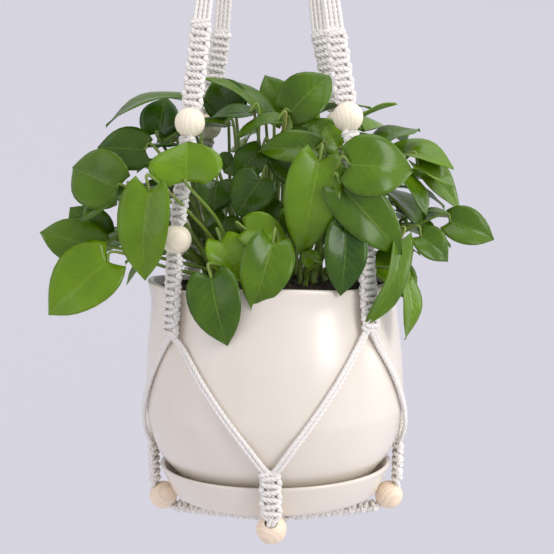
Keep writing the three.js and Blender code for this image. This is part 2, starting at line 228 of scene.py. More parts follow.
class Graph:
    """Short ways to add nodes to a node tree and to link them."""

    def __init__(self, node_tree):
        self.nodes = node_tree.nodes
        self.links = node_tree.links

    def feed(self, socket, value):
        if isinstance(value, bpy.types.NodeSocket):
            self.links.new(value, socket)
        else:
            socket.default_value = value

    def node(self, kind, settings=None, **links):
        made = self.nodes.new(kind)
        for key, value in (settings or {}).items():
            setattr(made, key, value)
        for key, value in links.items():
            self.feed(made.inputs[key.replace("_", " ")], value)
        return made

    def math(self, operation, *values):
        made = self.node("ShaderNodeMath", {"operation": operation})
        for socket, value in zip(made.inputs, values):
            self.feed(socket, value)
        return made.outputs[0]


class Tree(Graph):
    """A geometry-node group with named inputs, built node by node."""

    def __init__(self, name):
        self.group = bpy.data.node_groups.new(name, "GeometryNodeTree")
        super().__init__(self.group)
        self.put("Geometry", "NodeSocketGeometry")
        self.group.interface.new_socket(
            name="Geometry", in_out="OUTPUT", socket_type="NodeSocketGeometry"
        )
        self.inputs = self.nodes.new("NodeGroupInput")
        self.output = self.nodes.new("NodeGroupOutput")

    def put(self, name, kind, default=None):
        socket = self.group.interface.new_socket(name=name, in_out="INPUT", socket_type=kind)
        if default is not None:
            socket.default_value = default

    def finish(self, geometry):
        self.links.new(geometry, self.output.inputs[0])
        return self.group


def laid_rope_tree():
    """Rope of three laid strands along every edge path of the mesh it is given."""
    tree = Tree("Laid rope")
    tree.put("Cord Diameter", "NodeSocketFloat", 0.004)
    tree.put("Lay Length", "NodeSocketFloat", 0.014)
    tree.put("Step Length", "NodeSocketFloat", 0.0014)
    tree.put("Strand Depth", "NodeSocketFloat", 0.14)
    tree.put("Cotton", "NodeSocketMaterial")
    given = tree.inputs.outputs
    path = tree.node("GeometryNodeMeshToCurve", Mesh=given["Geometry"]).outputs["Curve"]
    even = tree.node(
        "GeometryNodeResampleCurve", {"mode": "LENGTH"}, Curve=path, Length=given["Step Length"]
    ).outputs["Curve"]
    run = tree.node("GeometryNodeSplineParameter").outputs["Length"]
    turns = tree.math("DIVIDE", run, given["Lay Length"])
    tilted = tree.node(
        "GeometryNodeSetCurveTilt", Curve=even, Tilt=tree.math("MULTIPLY", turns, math.tau)
    ).outputs["Curve"]
    marked = tree.node(
        "GeometryNodeStoreNamedAttribute",
        {"data_type": "FLOAT", "domain": "POINT"},
        Geometry=tilted,
        Name="run",
        Value=run,
    ).outputs["Geometry"]
    circle = tree.node("GeometryNodeCurvePrimitiveCircle", Resolution=12, Radius=1.0)
    share = tree.node("GeometryNodeSplineParameter").outputs["Factor"]
    lobe = tree.math("COSINE", tree.math("MULTIPLY", share, 3 * math.tau))
    bulge = tree.math("MULTIPLY", lobe, given["Strand Depth"])
    width = tree.math("ADD", bulge, 1.0)
    half = tree.math("MULTIPLY", given["Cord Diameter"], 0.5)
    scale = tree.math("DIVIDE", tree.math("MULTIPLY", width, half), 1.1)
    position = tree.node("GeometryNodeInputPosition").outputs[0]
    scaled = tree.node("ShaderNodeVectorMath", {"operation": "SCALE"}, Scale=scale)
    tree.links.new(position, scaled.inputs[0])
    section = tree.node(
        "GeometryNodeSetPosition", Geometry=circle.outputs["Curve"], Position=scaled.outputs[0]
    ).outputs["Geometry"]
    turn = tree.node("ShaderNodeCombineXYZ")
    angle = tree.math("MULTIPLY", share, math.tau)
    tree.links.new(tree.math("COSINE", angle), turn.inputs[0])
    tree.links.new(tree.math("SINE", angle), turn.inputs[1])
    tree.links.new(lobe, turn.inputs[2])
    labelled = tree.node(
        "GeometryNodeStoreNamedAttribute",
        {"data_type": "FLOAT_VECTOR", "domain": "POINT"},
        Geometry=section,
        Name="turn",
        Value=turn.outputs[0],
    ).outputs["Geometry"]
    rope = tree.node("GeometryNodeCurveToMesh", Curve=marked, Fill_Caps=True)
    tree.links.new(labelled, rope.inputs["Profile Curve"])
    soft = tree.node("GeometryNodeSetShadeSmooth", Geometry=rope.outputs["Mesh"])
    whole = tree.node("GeometryNodeRealizeInstances", Geometry=soft.outputs[0])
    final = tree.node(
        "GeometryNodeSetMaterial", Geometry=whole.outputs[0], Material=given["Cotton"]
    )
    return tree.finish(final.outputs[0])


def scatter_tree():
    """Small lumps of bark and grit spread over the faces that point up."""
    tree = Tree("Soil lumps")
    tree.put("Density", "NodeSocketFloat", 30000.0)
    tree.put("Lump Size", "NodeSocketFloat", 0.003)
    tree.put("Seed", "NodeSocketInt", 4)
    tree.put("Soil", "NodeSocketMaterial")
    given = tree.inputs.outputs
    normal = tree.node("GeometryNodeInputNormal").outputs[0]
    up = tree.node("ShaderNodeSeparateXYZ")
    tree.links.new(normal, up.inputs[0])
    facing = tree.node("FunctionNodeCompare", {"operation": "GREATER_THAN"})
    tree.links.new(up.outputs[2], facing.inputs[0])
    facing.inputs[1].default_value = 0.6
    spots = tree.node(
        "GeometryNodeDistributePointsOnFaces",
        Mesh=given["Geometry"],
        Selection=facing.outputs[0],
        Density=given["Density"],
        Seed=given["Seed"],
    )
    lump = tree.node("GeometryNodeMeshIcoSphere", Radius=1.0, Subdivisions=1)
    size = tree.node("FunctionNodeRandomValue", {"data_type": "FLOAT"}, Seed=given["Seed"])
    size.inputs[2].default_value = 0.25
    size.inputs[3].default_value = 1.0
    spin = tree.node("FunctionNodeRandomValue", {"data_type": "FLOAT_VECTOR"}, Seed=given["Seed"])
    spin.inputs[1].default_value = (6.28, 6.28, 6.28)
    shape = tree.node("ShaderNodeCombineXYZ")
    long_side = tree.math("MULTIPLY", size.outputs[1], given["Lump Size"])
    tree.links.new(long_side, shape.inputs[0])
    tree.links.new(tree.math("MULTIPLY", long_side, 0.7), shape.inputs[1])
    tree.links.new(tree.math("MULTIPLY", long_side, 0.45), shape.inputs[2])
    placed = tree.node("GeometryNodeInstanceOnPoints", Points=spots.outputs["Points"])
    tree.links.new(lump.outputs["Mesh"], placed.inputs["Instance"])
    tree.links.new(spin.outputs[0], placed.inputs["Rotation"])
    tree.links.new(shape.outputs[0], placed.inputs["Scale"])
    joined = tree.node("GeometryNodeJoinGeometry")
    tree.links.new(placed.outputs[0], joined.inputs[0])
    tree.links.new(given["Geometry"], joined.inputs[0])
    whole = tree.node("GeometryNodeRealizeInstances", Geometry=joined.outputs[0])
    final = tree.node(
        "GeometryNodeSetMaterial", Geometry=whole.outputs[0], Material=given["Soil"]
    )
    return tree.finish(final.outputs[0])


def grown(host, tree, name, **values):
    """The plain mesh that a tree makes of the host, which is removed."""
    modifier = host.modifiers.new("Shape", "NODES")
    modifier.node_group = tree
    for item in tree.interface.items_tree:
        key = item.name.replace(" ", "_").lower()
        if item.in_out == "INPUT" and key in values:
            modifier[item.identifier] = values[key]
    bpy.context.view_layer.update()
    depsgraph = bpy.context.evaluated_depsgraph_get()
    mesh = bpy.data.meshes.new_from_object(host.evaluated_get(depsgraph), depsgraph=depsgraph)
    mesh.name = name
    while mesh.materials[0] is None:
        mesh.materials.pop(index=0)
    host.modifiers.remove(modifier)
    bpy.data.objects.remove(host)
    obj = bpy.data.objects.new(name, mesh)
    bpy.context.scene.collection.objects.link(obj)
    return obj


def rope(name, paths, diameter, cotton, lay=0.014, step=0.0014, closed=False):
    """Laid cord along each list of points."""
    mesh = bpy.data.meshes.new(name + "_path")
    vertices, edges = [], []
    for points in paths:
        start = len(vertices)
        vertices += [tuple(p) for p in points]
        edges += [(start + i, start + i + 1) for i in range(len(points) - 1)]
        if closed:
            edges.append((start + len(points) - 1, start))
    mesh.from_pydata(vertices, edges, [])
    host = bpy.data.objects.new(name + "_path", mesh)
    bpy.context.scene.collection.objects.link(host)
    tree = bpy.data.node_groups.get("Laid rope") or laid_rope_tree()
    return grown(
        host,
        tree,
        name,
        cord_diameter=diameter,
        lay_length=lay,
        step_length=step,
        strand_depth=0.14,
        cotton=cotton,
    )


# ---- materials ----


class Finish(Graph):
    """A material and its shader, with short ways to add the nodes that feed it."""

    def __init__(self, name, colour, roughness, **sockets):
        self.material = bpy.data.materials.new(name)
        self.material.use_nodes = True
        self.material.diffuse_color = (*colour, 1)
        super().__init__(self.material.node_tree)
        self.shader = self.nodes["Principled BSDF"]
        self.shader.inputs["Base Color"].default_value = (*colour, 1)
        self.shader.inputs["Roughness"].default_value = roughness
        for key, value in sockets.items():
            self.shader.inputs[key.replace("_", " ")].default_value = value

    def place(self):
        return self.node("ShaderNodeTexCoord").outputs["Object"]

    def attribute(self, name, output="Vector"):
        return self.node("ShaderNodeAttribute", {"attribute_name": name}).outputs[output]

    def noise(self, vector, scale, detail=3.0, roughness=0.5):
        made = self.node("ShaderNodeTexNoise", Vector=vector, Scale=scale, Detail=detail)
        made.inputs["Roughness"].default_value = roughness
        return made.outputs["Fac"]

    def stretched(self, vector, scale):
        made = self.node("ShaderNodeMapping", Vector=vector)
        made.inputs["Scale"].default_value = scale
        return made.outputs[0]

    def ramp(self, value, *stops):
        made = self.node("ShaderNodeValToRGB", Fac=value)
        elements = made.color_ramp.elements
        while len(elements) < len(stops):
            elements.new(0.5)
        for element, (place, colour) in zip(elements, stops):
            element.position = place
            element.color = (*colour, 1)
        return made.outputs["Color"]

    def mix(self, share, first, second):
        made = self.node("ShaderNodeMix", {"data_type": "RGBA"})
        self.feed(made.inputs[0], share)
        for socket, value in ((made.inputs[6], first), (made.inputs[7], second)):
            self.feed(socket, (*value, 1) if isinstance(value, tuple) else value)
        return made.outputs[2]

    def colour(self, socket):
        self.links.new(socket, self.shader.inputs["Base Color"])

    def rough(self, socket):
        self.links.new(socket, self.shader.inputs["Roughness"])

    def bump(self, height, strength, distance):
        made = self.node("ShaderNodeBump", Height=height, Strength=strength, Distance=distance)
        self.links.new(made.outputs[0], self.shader.inputs["Normal"])


def tinted(colour, factor):
    return tuple(min(1.0, c * factor) for c in colour)


def cotton_finish(colour):
    """Natural cotton: fine fibres that run round the strands, with painted shade in the grooves."""
    finish = Finish("Cotton cord", colour, 0.95, Sheen_Weight=0.5, Sheen_Roughness=0.6)
    turn = finish.attribute("turn")
    run = finish.attribute("run", "Fac")
    split = finish.node("ShaderNodeSeparateXYZ", Vector=turn)
    line = finish.node("ShaderNodeCombineXYZ", X=split.outputs[0], Y=split.outputs[1])
    finish.links.new(finish.math("MULTIPLY", run, 260.0), line.inputs[2])
    fibre = finish.noise(finish.stretched(line.outputs[0], (7.0, 7.0, 1.0)), 1.0, 4.0, 0.6)
    # Painted shade: the grooves between the strands lower the tone, and the ramp below darkens them.
    groove = finish.math("MULTIPLY_ADD", split.outputs[2], 0.5, 0.5)
    cloudy = finish.noise(finish.place(), 35.0)
    fine, groove_shade = finish.math("MULTIPLY", fibre, 0.35), finish.math("MULTIPLY", groove, 0.6)
    tone = finish.math("ADD", fine, groove_shade)
    tone = finish.math("ADD", tone, finish.math("MULTIPLY", cloudy, 0.1))
    finish.colour(
        finish.ramp(tone, (0.1, tinted(colour, 0.86)), (0.45, tinted(colour, 0.98)), (0.9, colour))
    )
    height = finish.math("ADD", fibre, finish.math("MULTIPLY", groove, 0.4))
    finish.bump(height, 0.5, 0.0005)
    return finish.material


def wood_finish(name, colour, dark, scale):
    """Turned wood: growth rings and fine pores, read from the piece's own grain."""
    finish = Finish(name, colour, 0.48)
    grain = finish.attribute("grain")
    warped = finish.noise(finish.stretched(grain, (1.0, 1.0, 0.25)), scale * 0.35, 2.0)
    rings = finish.node("ShaderNodeTexWave", {"wave_type": "BANDS", "bands_direction": "X"})
    rings.inputs["Scale"].default_value = scale
    rings.inputs["Distortion"].default_value = 3.5
    rings.inputs["Detail"].default_value = 2.0
    finish.links.new(grain, rings.inputs["Vector"])
    pores = finish.noise(finish.stretched(grain, (9.0, 9.0, 0.8)), scale * 3, 3.0, 0.7)
    tone = finish.math("MULTIPLY_ADD", rings.outputs["Fac"], 0.4, finish.math("MULTIPLY", warped, 0.3))
    tone = finish.math("ADD", tone, finish.math("MULTIPLY", pores, 0.35))
    finish.colour(finish.ramp(tone, (0.25, dark), (0.6, colour), (0.95, tinted(colour, 1.08))))
    finish.rough(finish.math("MULTIPLY_ADD", pores, 0.2, 0.4))
    ridges = finish.math("MULTIPLY", rings.outputs["Fac"], 0.3)
    finish.bump(finish.math("ADD", pores, ridges), 0.12, 0.0004)
    return finish.material


def glaze_finish(colour, roughness):
    """Cream glaze: pools and thins a little, with pinholes and a gentle orange peel."""
    finish = Finish(
        "Cream glaze", colour, roughness, Coat_Weight=0.45, Coat_Roughness=0.2, IOR=1.52
    )
    place = finish.place()
    cloudy = finish.noise(finish.stretched(place, (1.0, 1.0, 0.6)), 14.0, 4.0)
    specks = finish.noise(place, 900.0, 2.0, 0.4)
    tone = finish.math("MULTIPLY_ADD", specks, 0.22, finish.math("MULTIPLY", cloudy, 0.78))
    finish.colour(
        finish.ramp(tone, (0.25, tinted(colour, 0.92)), (0.55, colour), (0.8, tinted(colour, 1.03)))
    )
    peel = finish.noise(place, 60.0, 2.0)
    finish.rough(finish.math("MULTIPLY_ADD", cloudy, 0.12, roughness - 0.06))
    finish.bump(finish.math("ADD", peel, finish.math("MULTIPLY", specks, 0.15)), 0.08, 0.001)
    return finish.material


def soil_finish(colour):
    finish = Finish("Potting soil", colour, 1.0)
    place = finish.place()
    lumps = finish.noise(place, 220.0, 5.0, 0.7)
    finish.colour(
        finish.ramp(
            lumps,
            (0.3, tinted(colour, 0.35)),
            (0.55, colour),
            (0.72, (0.16, 0.09, 0.05)),
            (0.85, (0.38, 0.24, 0.15)),
        )
    )
    finish.bump(lumps, 0.8, 0.002)
    return finish.material


def leaf_finish(name, dark, bright, pale_veins, roughness):
    """Waxy leaf: its own tint, paler ribs, darker between the side veins."""
    finish = Finish(
        name,
        dark,
        roughness,
        Coat_Weight=0.4,
        Coat_Roughness=0.18,
        Specular_IOR_Level=0.15,
        Subsurface_Weight=0.08,
        Subsurface_Radius=(0.004, 0.006, 0.001),
        Subsurface_Scale=0.5,
    )
    blade = finish.attribute("blade")
    tint = finish.attribute("tint", "Fac")
    split = finish.node("ShaderNodeSeparateXYZ", Vector=blade)
    along, across = split.outputs[0], split.outputs[1]
    side = finish.math("ABSOLUTE", across)
    cloudy = finish.noise(finish.place(), 45.0, 3.0)
    share = finish.math("MULTIPLY_ADD", cloudy, 0.5, finish.math("SUBTRACT", tint, 0.25))
    base = finish.mix(share, dark, bright)
    slanted = finish.math("SUBTRACT", along, finish.math("MULTIPLY", side, 0.34))
    wave = finish.math("SINE", finish.math("MULTIPLY", slanted, 46.0))
    vein = finish.math("POWER", finish.math("MULTIPLY_ADD", wave, 0.5, 0.5), 7.0)
    fade = finish.math("MULTIPLY", vein, finish.math("SUBTRACT", 1.0, side))
    rib = finish.math("SMOOTH_MIN", side, 0.05, 0.015)
    rib = finish.math("SUBTRACT", 1.0, finish.math("DIVIDE", rib, 0.046))
    rib = finish.math("MAXIMUM", rib, 0.0)
    veined = finish.mix(finish.math("MULTIPLY", fade, 0.06), base, pale_veins)
    ribbed = finish.mix(finish.math("MULTIPLY", rib, 0.26), veined, pale_veins)
    finish.colour(ribbed)
    swell = finish.noise(finish.place(), 38.0, 2.0)
    relief = finish.math("MULTIPLY", wave, finish.math("SUBTRACT", 0.6, side))
    relief = finish.math("MULTIPLY_ADD", swell, 9.0, relief)
    relief = finish.math("SUBTRACT", relief, finish.math("MULTIPLY", rib, 1.6))
    fine = finish.noise(finish.place(), 700.0, 2.0)
    finish.bump(finish.math("MULTIPLY_ADD", fine, 0.25, relief), 0.35, 0.0006)
    finish.rough(finish.math("MULTIPLY_ADD", cloudy, 0.18, roughness - 0.09))
    return finish.material


def stalk_finish(colour, sheath):
    """Leaf stalk: pale green, faintly ribbed along, browning here and there."""
    finish = Finish("Leaf stalk", colour, 0.42, Coat_Weight=0.15, Coat_Roughness=0.25)
    place = finish.place()
    cloudy = finish.noise(finish.stretched(place, (1.0, 1.0, 0.4)), 60.0, 3.0)
    finish.colour(
        finish.ramp(cloudy, (0.35, tinted(colour, 0.75)), (0.6, colour), (0.78, sheath))
    )
    finish.bump(finish.noise(finish.stretched(place, (3.0, 3.0, 0.3)), 500.0), 0.2, 0.0004)
    return finish.material


# ---- knots ----


def run_axes(start, end, outward):
    along = (end - start).normalized()
    out = (outward - along * outward.dot(along)).normalized()
    return along, along.cross(out).normalized(), out


def knot_points(start, end, outward, first=-1):
    """Four cords' points along a run of square knots: the two that tie, then the core.

    One tying cord always crosses in front and its mate behind; they trade sides at
    each half knot and hook round each other at the edges.
    """
    along, side, out = run_axes(start, end, outward)
    length = (end - start).length
    halves = 2 * max(1, round(length / (KNOT_PITCH * MM)))
    pitch = length / halves
    wide = KNOT_WIDE * MM
    high = KNOT_HIGH * MM

    def at(u, v, w):
        return start + side * u * wide + along * v * pitch + out * w * high

    front, back = [], []
    hand = first
    for k in range(halves):
        front += [
            at(hand * 0.97, k + 0.14, 0.25),
            at(hand * 0.68, k + 0.41, 1.0),
            at(0, k + 0.5, 1.14),
            at(-hand * 0.68, k + 0.59, 0.98),
            at(-hand * 1.0, k + 0.84, 0.1),
        ]
        back += [
            at(-hand * 1.02, k + 0.04, 0.62),
            at(-hand * 1.14, k + 0.28, 0.1),
            at(-hand * 0.7, k + 0.45, -1.0),
            at(0, k + 0.5, -1.14),
            at(hand * 0.7, k + 0.57, -1.0),
            at(hand * 1.0, k + 0.8, -0.1),
        ]
        hand = -hand
    core = KNOT_CORE * MM
    steps = max(2, halves)
    left = [start + side * -core + along * length * i / steps for i in range(steps + 1)]
    right = [start + side * core + along * length * i / steps for i in range(steps + 1)]
    return front, back, left, right, hand


def squeezed(centre, axis, outward):
    """Where the four cords lie, two by two, inside a bead's hole, before and after."""
    along, side, out = run_axes(centre, centre + axis, outward)
    apart = HOLE_SPACING * MM
    places = [(-1, 1), (1, 1), (-1, -1), (1, -1)]
    rows = []
    for reach in (-0.9, -0.3, 0.4, 0.9):
        middle = centre + along * BEAD_REACH * MM * reach
        rows.append([middle + side * apart * u + out * apart * w for u, w in places])
    return rows


def knotted(stops, azimuth, runs, beads):
    """Continuous cords through runs of knots and the beads between them."""
    angle = math.radians(azimuth)
    outward = Vector((math.cos(angle), math.sin(angle), 0))
    cords = [[], [], [], []]
    hand = -1
    for i, (start, end, facing) in enumerate(runs):
        front, back, left, right, hand_after = knot_points(start, end, facing or outward, hand)
        for cord, points in zip(cords, (front, back, left, right)):
            cord += points
        if i < len(beads):
            centre, axis = beads[i]
            rows = squeezed(centre, axis, outward)
            order = (0, 3, 1, 2) if hand_after < 0 else (1, 2, 0, 3)
            for row in rows:
                for cord, place in zip(cords, order):
                    cord.append(row[place])
        hand = hand_after
    for cord, (first, last) in zip(cords, stops):
        if first is not None:
            cord.insert(0, first)
        if last is not None:
            cord.append(last)
    return cords


# ---- settings ----


def colour_property(name, description, default):
    return FloatVectorProperty(
        name=name, description=description, default=default, size=3, min=0, max=1, subtype="COLOR"
    )


class CordSettings(bpy.types.PropertyGroup):
    """The cotton cord."""

    diameter: FloatProperty(
        name="Cord diameter",
        description="Diameter of the laid cord where it hangs free",
        default=0.004,
        min=0.002,
        max=0.008,
        subtype="DISTANCE",
        unit="LENGTH",
    )
    lay: FloatProperty(
        name="Lay length",
        description="Length of cord in which a strand goes once round",
        default=0.013,
        min=0.006,
        max=0.04,
        subtype="DISTANCE",
        unit="LENGTH",
    )
    colour: colour_property("Cotton", "Colour of the undyed cotton", (0.98, 0.935, 0.865))


class WoodSettings(bpy.types.PropertyGroup):
    """The beads and the ring."""

    bead_colour: colour_property("Bead wood", "Colour of the pale turned beads", (1.0, 0.90, 0.69))
    # The four lower beads' darker, redder wood colour is painted shade and a painted warm reflection.
    low_bead_colour: colour_property(
        "Lower bead wood", "Colour of the four lower beads, a slightly redder batch", (0.96, 0.78, 0.58)
    )
    ring_colour: colour_property("Ring wood", "Colour of the ring", (0.72, 0.52, 0.33))


class PotSettings(bpy.types.PropertyGroup):
    """The pot and its saucer."""

    glaze: colour_property("Glaze", "Colour of the cream glaze", (0.84, 0.765, 0.655))
    roughness: FloatProperty(
        name="Glaze roughness",
        description="How matt the glaze is",
        default=0.3,
        min=0.05,
        max=0.9,
        subtype="FACTOR",
    )
    soil: colour_property("Soil", "Colour of the damp potting soil", (0.045, 0.03, 0.022))


class PlantSettings(bpy.types.PropertyGroup):
    """The pothos."""

    dark: colour_property("Old leaf", "Colour of the older leaves", (0.010, 0.048, 0.001))
    bright: colour_property("Young leaf", "Colour of the youngest leaves", (0.175, 0.32, 0.002))
    stalk: colour_property("Stalk", "Colour of the leaf stalks", (0.20, 0.31, 0.04))
    seed: IntProperty(
        name="Growth seed",
        description="Picks how the inner leaves are turned",
        default=7,
        min=0,
    )


class StageSettings(bpy.types.PropertyGroup):
    """The floor and the lights."""

    backdrop: colour_property(
        "Floor and backdrop",
        "Colour of the plain floor and of the wall that rises from it",
        (0.70, 0.69, 0.745),
    )
    power: FloatProperty(
        name="Key light",
        description="Power of the large soft key light",
        default=19.0,
        min=0,
        unit="POWER",
    )


# ---- operators ----


def mark(obj, name, values):
    """Stores a number or a vector for each vertex."""
    single = isinstance(values[0], float)
    attribute = obj.data.attributes.new(name, "FLOAT" if single else "FLOAT_VECTOR", "POINT")
    flat = values if single else [c for value in values for c in value]
    attribute.data.foreach_set("value" if single else "vector", flat)


def cotton(context):
    return bpy.data.materials.get("Cotton cord") or cotton_finish(
        tuple(context.scene.planter_cord.colour)
    )


def settle(obj, body, slot, *nodes):
    """Says which body a piece rides on and hides the nodes it replaces; slot is not used."""
    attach(obj, body)
    if nodes:
        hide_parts(*nodes)


def ride_hanger(obj, *nodes):
    settle(obj, "hanger", "cotton_cord", *nodes)


def hang_cord(context, name, path, node):
    """One free cord along a path, held at both ends."""
    cord = context.scene.planter_cord
    made = rope(name, [path], cord.diameter, cotton(context), cord.lay)
    ride_hanger(made, node)


def knot_cords(context, name, cords):
    """Cords as they lie in their knots."""
    paths = [smooth(points, 4) for points in cords]
    return rope(name, paths, KNOT_CORD * MM, cotton(context), KNOT_LAY, KNOT_STEP)


class PLANTER_OT_ring(bpy.types.Operator):
    """Turn the wooden ring and give it its grain"""

    bl_idname = "planter.ring"
    bl_label = "Ring"

    def execute(self, context):
        vertices, faces, grain = [], [], []
        around, section = 96, 24
        for i in range(around):
            angle = 2 * math.pi * i / around
            for k in range(section):
                turn = 2 * math.pi * k / section
                radius = RING_RADIUS + RING_SECTION * math.cos(turn)
                x, z = radius * math.sin(angle), radius * math.cos(angle)
                y = RING_SECTION * math.sin(turn)
                vertices.append(Vector((x, y, z + RING_CENTRE)) * MM)
                grain.append((x * MM, z * MM, y * MM))
                n, m = (i + 1) % around, (k + 1) % section
                faces.append((i * section + k, n * section + k, n * section + m, i * section + m))
        ring = mesh_object("wooden_ring", vertices, faces)
        shade_smooth(ring)
        mark(ring, "grain", grain)
        settings = context.scene.planter_wood
        colour = tuple(settings.ring_colour)
        ring.data.materials.append(wood_finish("Ring wood", colour, tinted(colour, 0.66), 60.0))
        settle(ring, "ring", "ring_wood", "hanging_ring")
        return {"FINISHED"}


class PLANTER_OT_gathering(bpy.types.Operator):
    """Fold the cords over the ring and whip them together below it"""

    bl_idname = "planter.gathering"
    bl_label = "Loops and wrap"

    def execute(self, context):
        cord = context.scene.planter_cord
        diameter = cord.diameter
        loops = []
        reach = RING_SECTION + LOOP_SLACK + 2
        for i in range(LOOPS):
            place = i - (LOOPS - 1) / 2
            lean = place * 4 / (RING_RADIUS - reach)
            outward = Vector((math.sin(lean), 0, -math.cos(lean)))
            middle = outward * RING_RADIUS + Vector((0, 0, RING_CENTRE))
            # Where the two legs lie in the bundle inside the wrap.
            spread = math.radians(22.5 * (place + 4) - 90 + 11.25)
            near = Vector((6.6 * math.sin(spread), -6.6 * abs(math.cos(spread)), 0))
            far = Vector((near.x, -near.y, 0))
            down = [near + Vector((0, 0, z)) for z in (-104, -96, -86, WRAP_TOP - 4, WRAP_TOP)]
            up = [far + Vector((0, 0, z)) for z in (WRAP_TOP, WRAP_TOP - 4, -86, -96, -104)]
            over = []
            for k in range(9):
                angle = math.pi * k / 8
                point = middle - outward * reach * math.sin(angle)
                over.append(Vector((point.x, -reach * math.cos(angle), point.z)))
            path = [p * MM for p in (*down, *over, *up)]
            loops.append(smooth(path, 5))
        made = rope("cord_loops", loops, diameter, cotton(context), cord.lay)
        ride_hanger(made, "ring_loops")
        helix = []
        turns, radius = WHIPPING_TURNS, WHIPPING_RADIUS
        steps = 220
        top, low = WRAP_TOP - 1.9, WRAP_END + 1.9
        for i in range(steps + 1):
            angle = 2 * math.pi * turns * i / steps
            z = top + (low - top) * i / steps
            helix.append(Vector((radius * math.cos(angle), radius * math.sin(angle), z)) * MM)
        # The whipping's two ends are pulled in under its turns.
        first, last = helix[0].copy(), helix[-1].copy()
        helix.insert(0, Vector((first.x * 0.78, first.y * 0.78, first.z - 3 * MM)))
        helix.append(Vector((last.x * 0.78, last.y * 0.78, last.z + 3 * MM)))
        wrap = rope("whipping_cord", [helix], WHIPPING_CORD * MM, cotton(context), cord.lay)
        ride_hanger(wrap, "gathering_wrap")
        return {"FINISHED"}


def knot_head(arm, place, lift):
    """Where a cord enters an arm's first knot, as far across as its place."""
    _, azimuth, rises, sway, twist = arm
    turn = math.radians(twist)
    radius = FIRST_KNOT[0] - place * math.sin(turn)
    return on_spoke(azimuth, radius, FIRST_KNOT[1] + rises[0] + lift, sway + place * math.cos(turn))


def upper_path(arm, place):
    """One free cord from the wrap down to an arm's first knot."""
    top = on_spoke(arm[1], 8, WRAP_END - 0.4, place * 2.8)
    foot = knot_head(arm, place * HEAD_SPACING, 1.2)
    return [top.lerp(foot, i / 60) for i in range(61)]


class PLANTER_OT_free_cords(bpy.types.Operator):
    """Hang four free cords for each arm between the wrap and the first knot"""

    bl_idname = "planter.free_cords"
    bl_label = "Free cords"

    def execute(self, context):
        for arm in ARMS:
            name = arm[0]
            for k, place in enumerate(SIDE_BY_SIDE):
                path = upper_path(arm, place)
                hang_cord(context, f"{name}_free_cord_{k + 1}", path, f"{name}_upper_cords")
        return {"FINISHED"}


def arm_stops(azimuth, rises, sway):
    """First knot, two bead centres with their axes, and the split, in metres."""
    places = (FIRST_KNOT, FIRST_BEAD, SECOND_BEAD, SPLIT)
    sways = (sway, sway * 0.4, 0, 0)
    stops = [
        on_spoke(azimuth, radius, z + rise, across)
        for (radius, z), rise, across in zip(places, rises, sways)
    ]
    axes = [(stops[i + 1] - stops[i - 1]).normalized() for i in (1, 2)]
    return stops, axes


def low_bead(azimuth):
    centre = on_spoke(azimuth, *LOW_BEAD)
    inward = on_spoke(azimuth, -1, -1) / MM
    return centre, inward.normalized()


class PLANTER_OT_arm_knots(bpy.types.Operator):
    """Tie the square knots down each arm, through its two beads"""

    bl_idname = "planter.arm_knots"
    bl_label = "Arm knots"

    def execute(self, context):
        reach = (BEAD_REACH + 0.9) * MM
        for arm in ARMS:
            name, azimuth, rises, sway, twist = arm
            stops, axes = arm_stops(azimuth, rises, sway)
            turned = math.radians(azimuth + twist)
            facing = Vector((math.cos(turned), math.sin(turned), 0))
            above = [stops[i + 1] - axes[i] * reach for i in (0, 1)]
            below = [stops[i + 1] + axes[i] * reach for i in (0, 1)]
            runs = [
                (stops[0], above[0], facing),
                (below[0], above[1], None),
                (below[1], stops[3] + on_spoke(azimuth, 0.9, 0), None),
            ]
            ends = []
            for place in TYING_ORDER:
                first = knot_head(arm, place * HEAD_SPACING, 1.5)
                foot = SPLIT[1] + rises[3] - 1.5
                last = on_spoke(azimuth, SPLIT[0], foot, place * FOOT_SPACING)
                ends.append((first, last))
            cords = knotted(ends, azimuth, runs, list(zip(stops[1:3], axes)))
            made = knot_cords(context, f"{name}_arm_knots", cords)
            ride_hanger(made, *[f"{name}_sinnet_{k}" for k in (1, 2, 3)])
        return {"FINISHED"}


def net_path(azimuth, direction, which, rise):
    """One cord of a pair, from the foot of an arm over the pot to the next side."""
    points = []
    for share, z, radius in NET_ROUTE:
        out = radius or pot_radius(z) + 3
        apart = (5.6 if which else 1.8) / out
        joined = (1.8 if which else 5.6) / JOINT[0]
        angle = direction * (apart + share * (math.pi / 4 - apart - joined))
        height = z + rise if share == 0 else z
        points.append(on_spoke(azimuth + math.degrees(angle), out, height))
    return smooth(points, 8)


def next_side(azimuth, direction):
    turned = (azimuth + 45 * direction) % 360
    return next(name for name, place in SIDES if place == turned)


class PLANTER_OT_net(bpy.types.Operator):
    """Lead the cords in pairs over the pot, from each arm to the sides beside it"""

    bl_idname = "planter.net"
    bl_label = "Net round the pot"

    def execute(self, context):
        for name, azimuth, rises, _, _ in ARMS:
            for direction in (-1, 1):
                side = next_side(azimuth, direction)
                for which in (0, 1):
                    path = net_path(azimuth, direction, which, rises[3])
                    piece = f"{name}_to_{side}_cord_{which + 1}"
                    hang_cord(context, piece, path, f"{name}_to_{side}_cords")
        return {"FINISHED"}


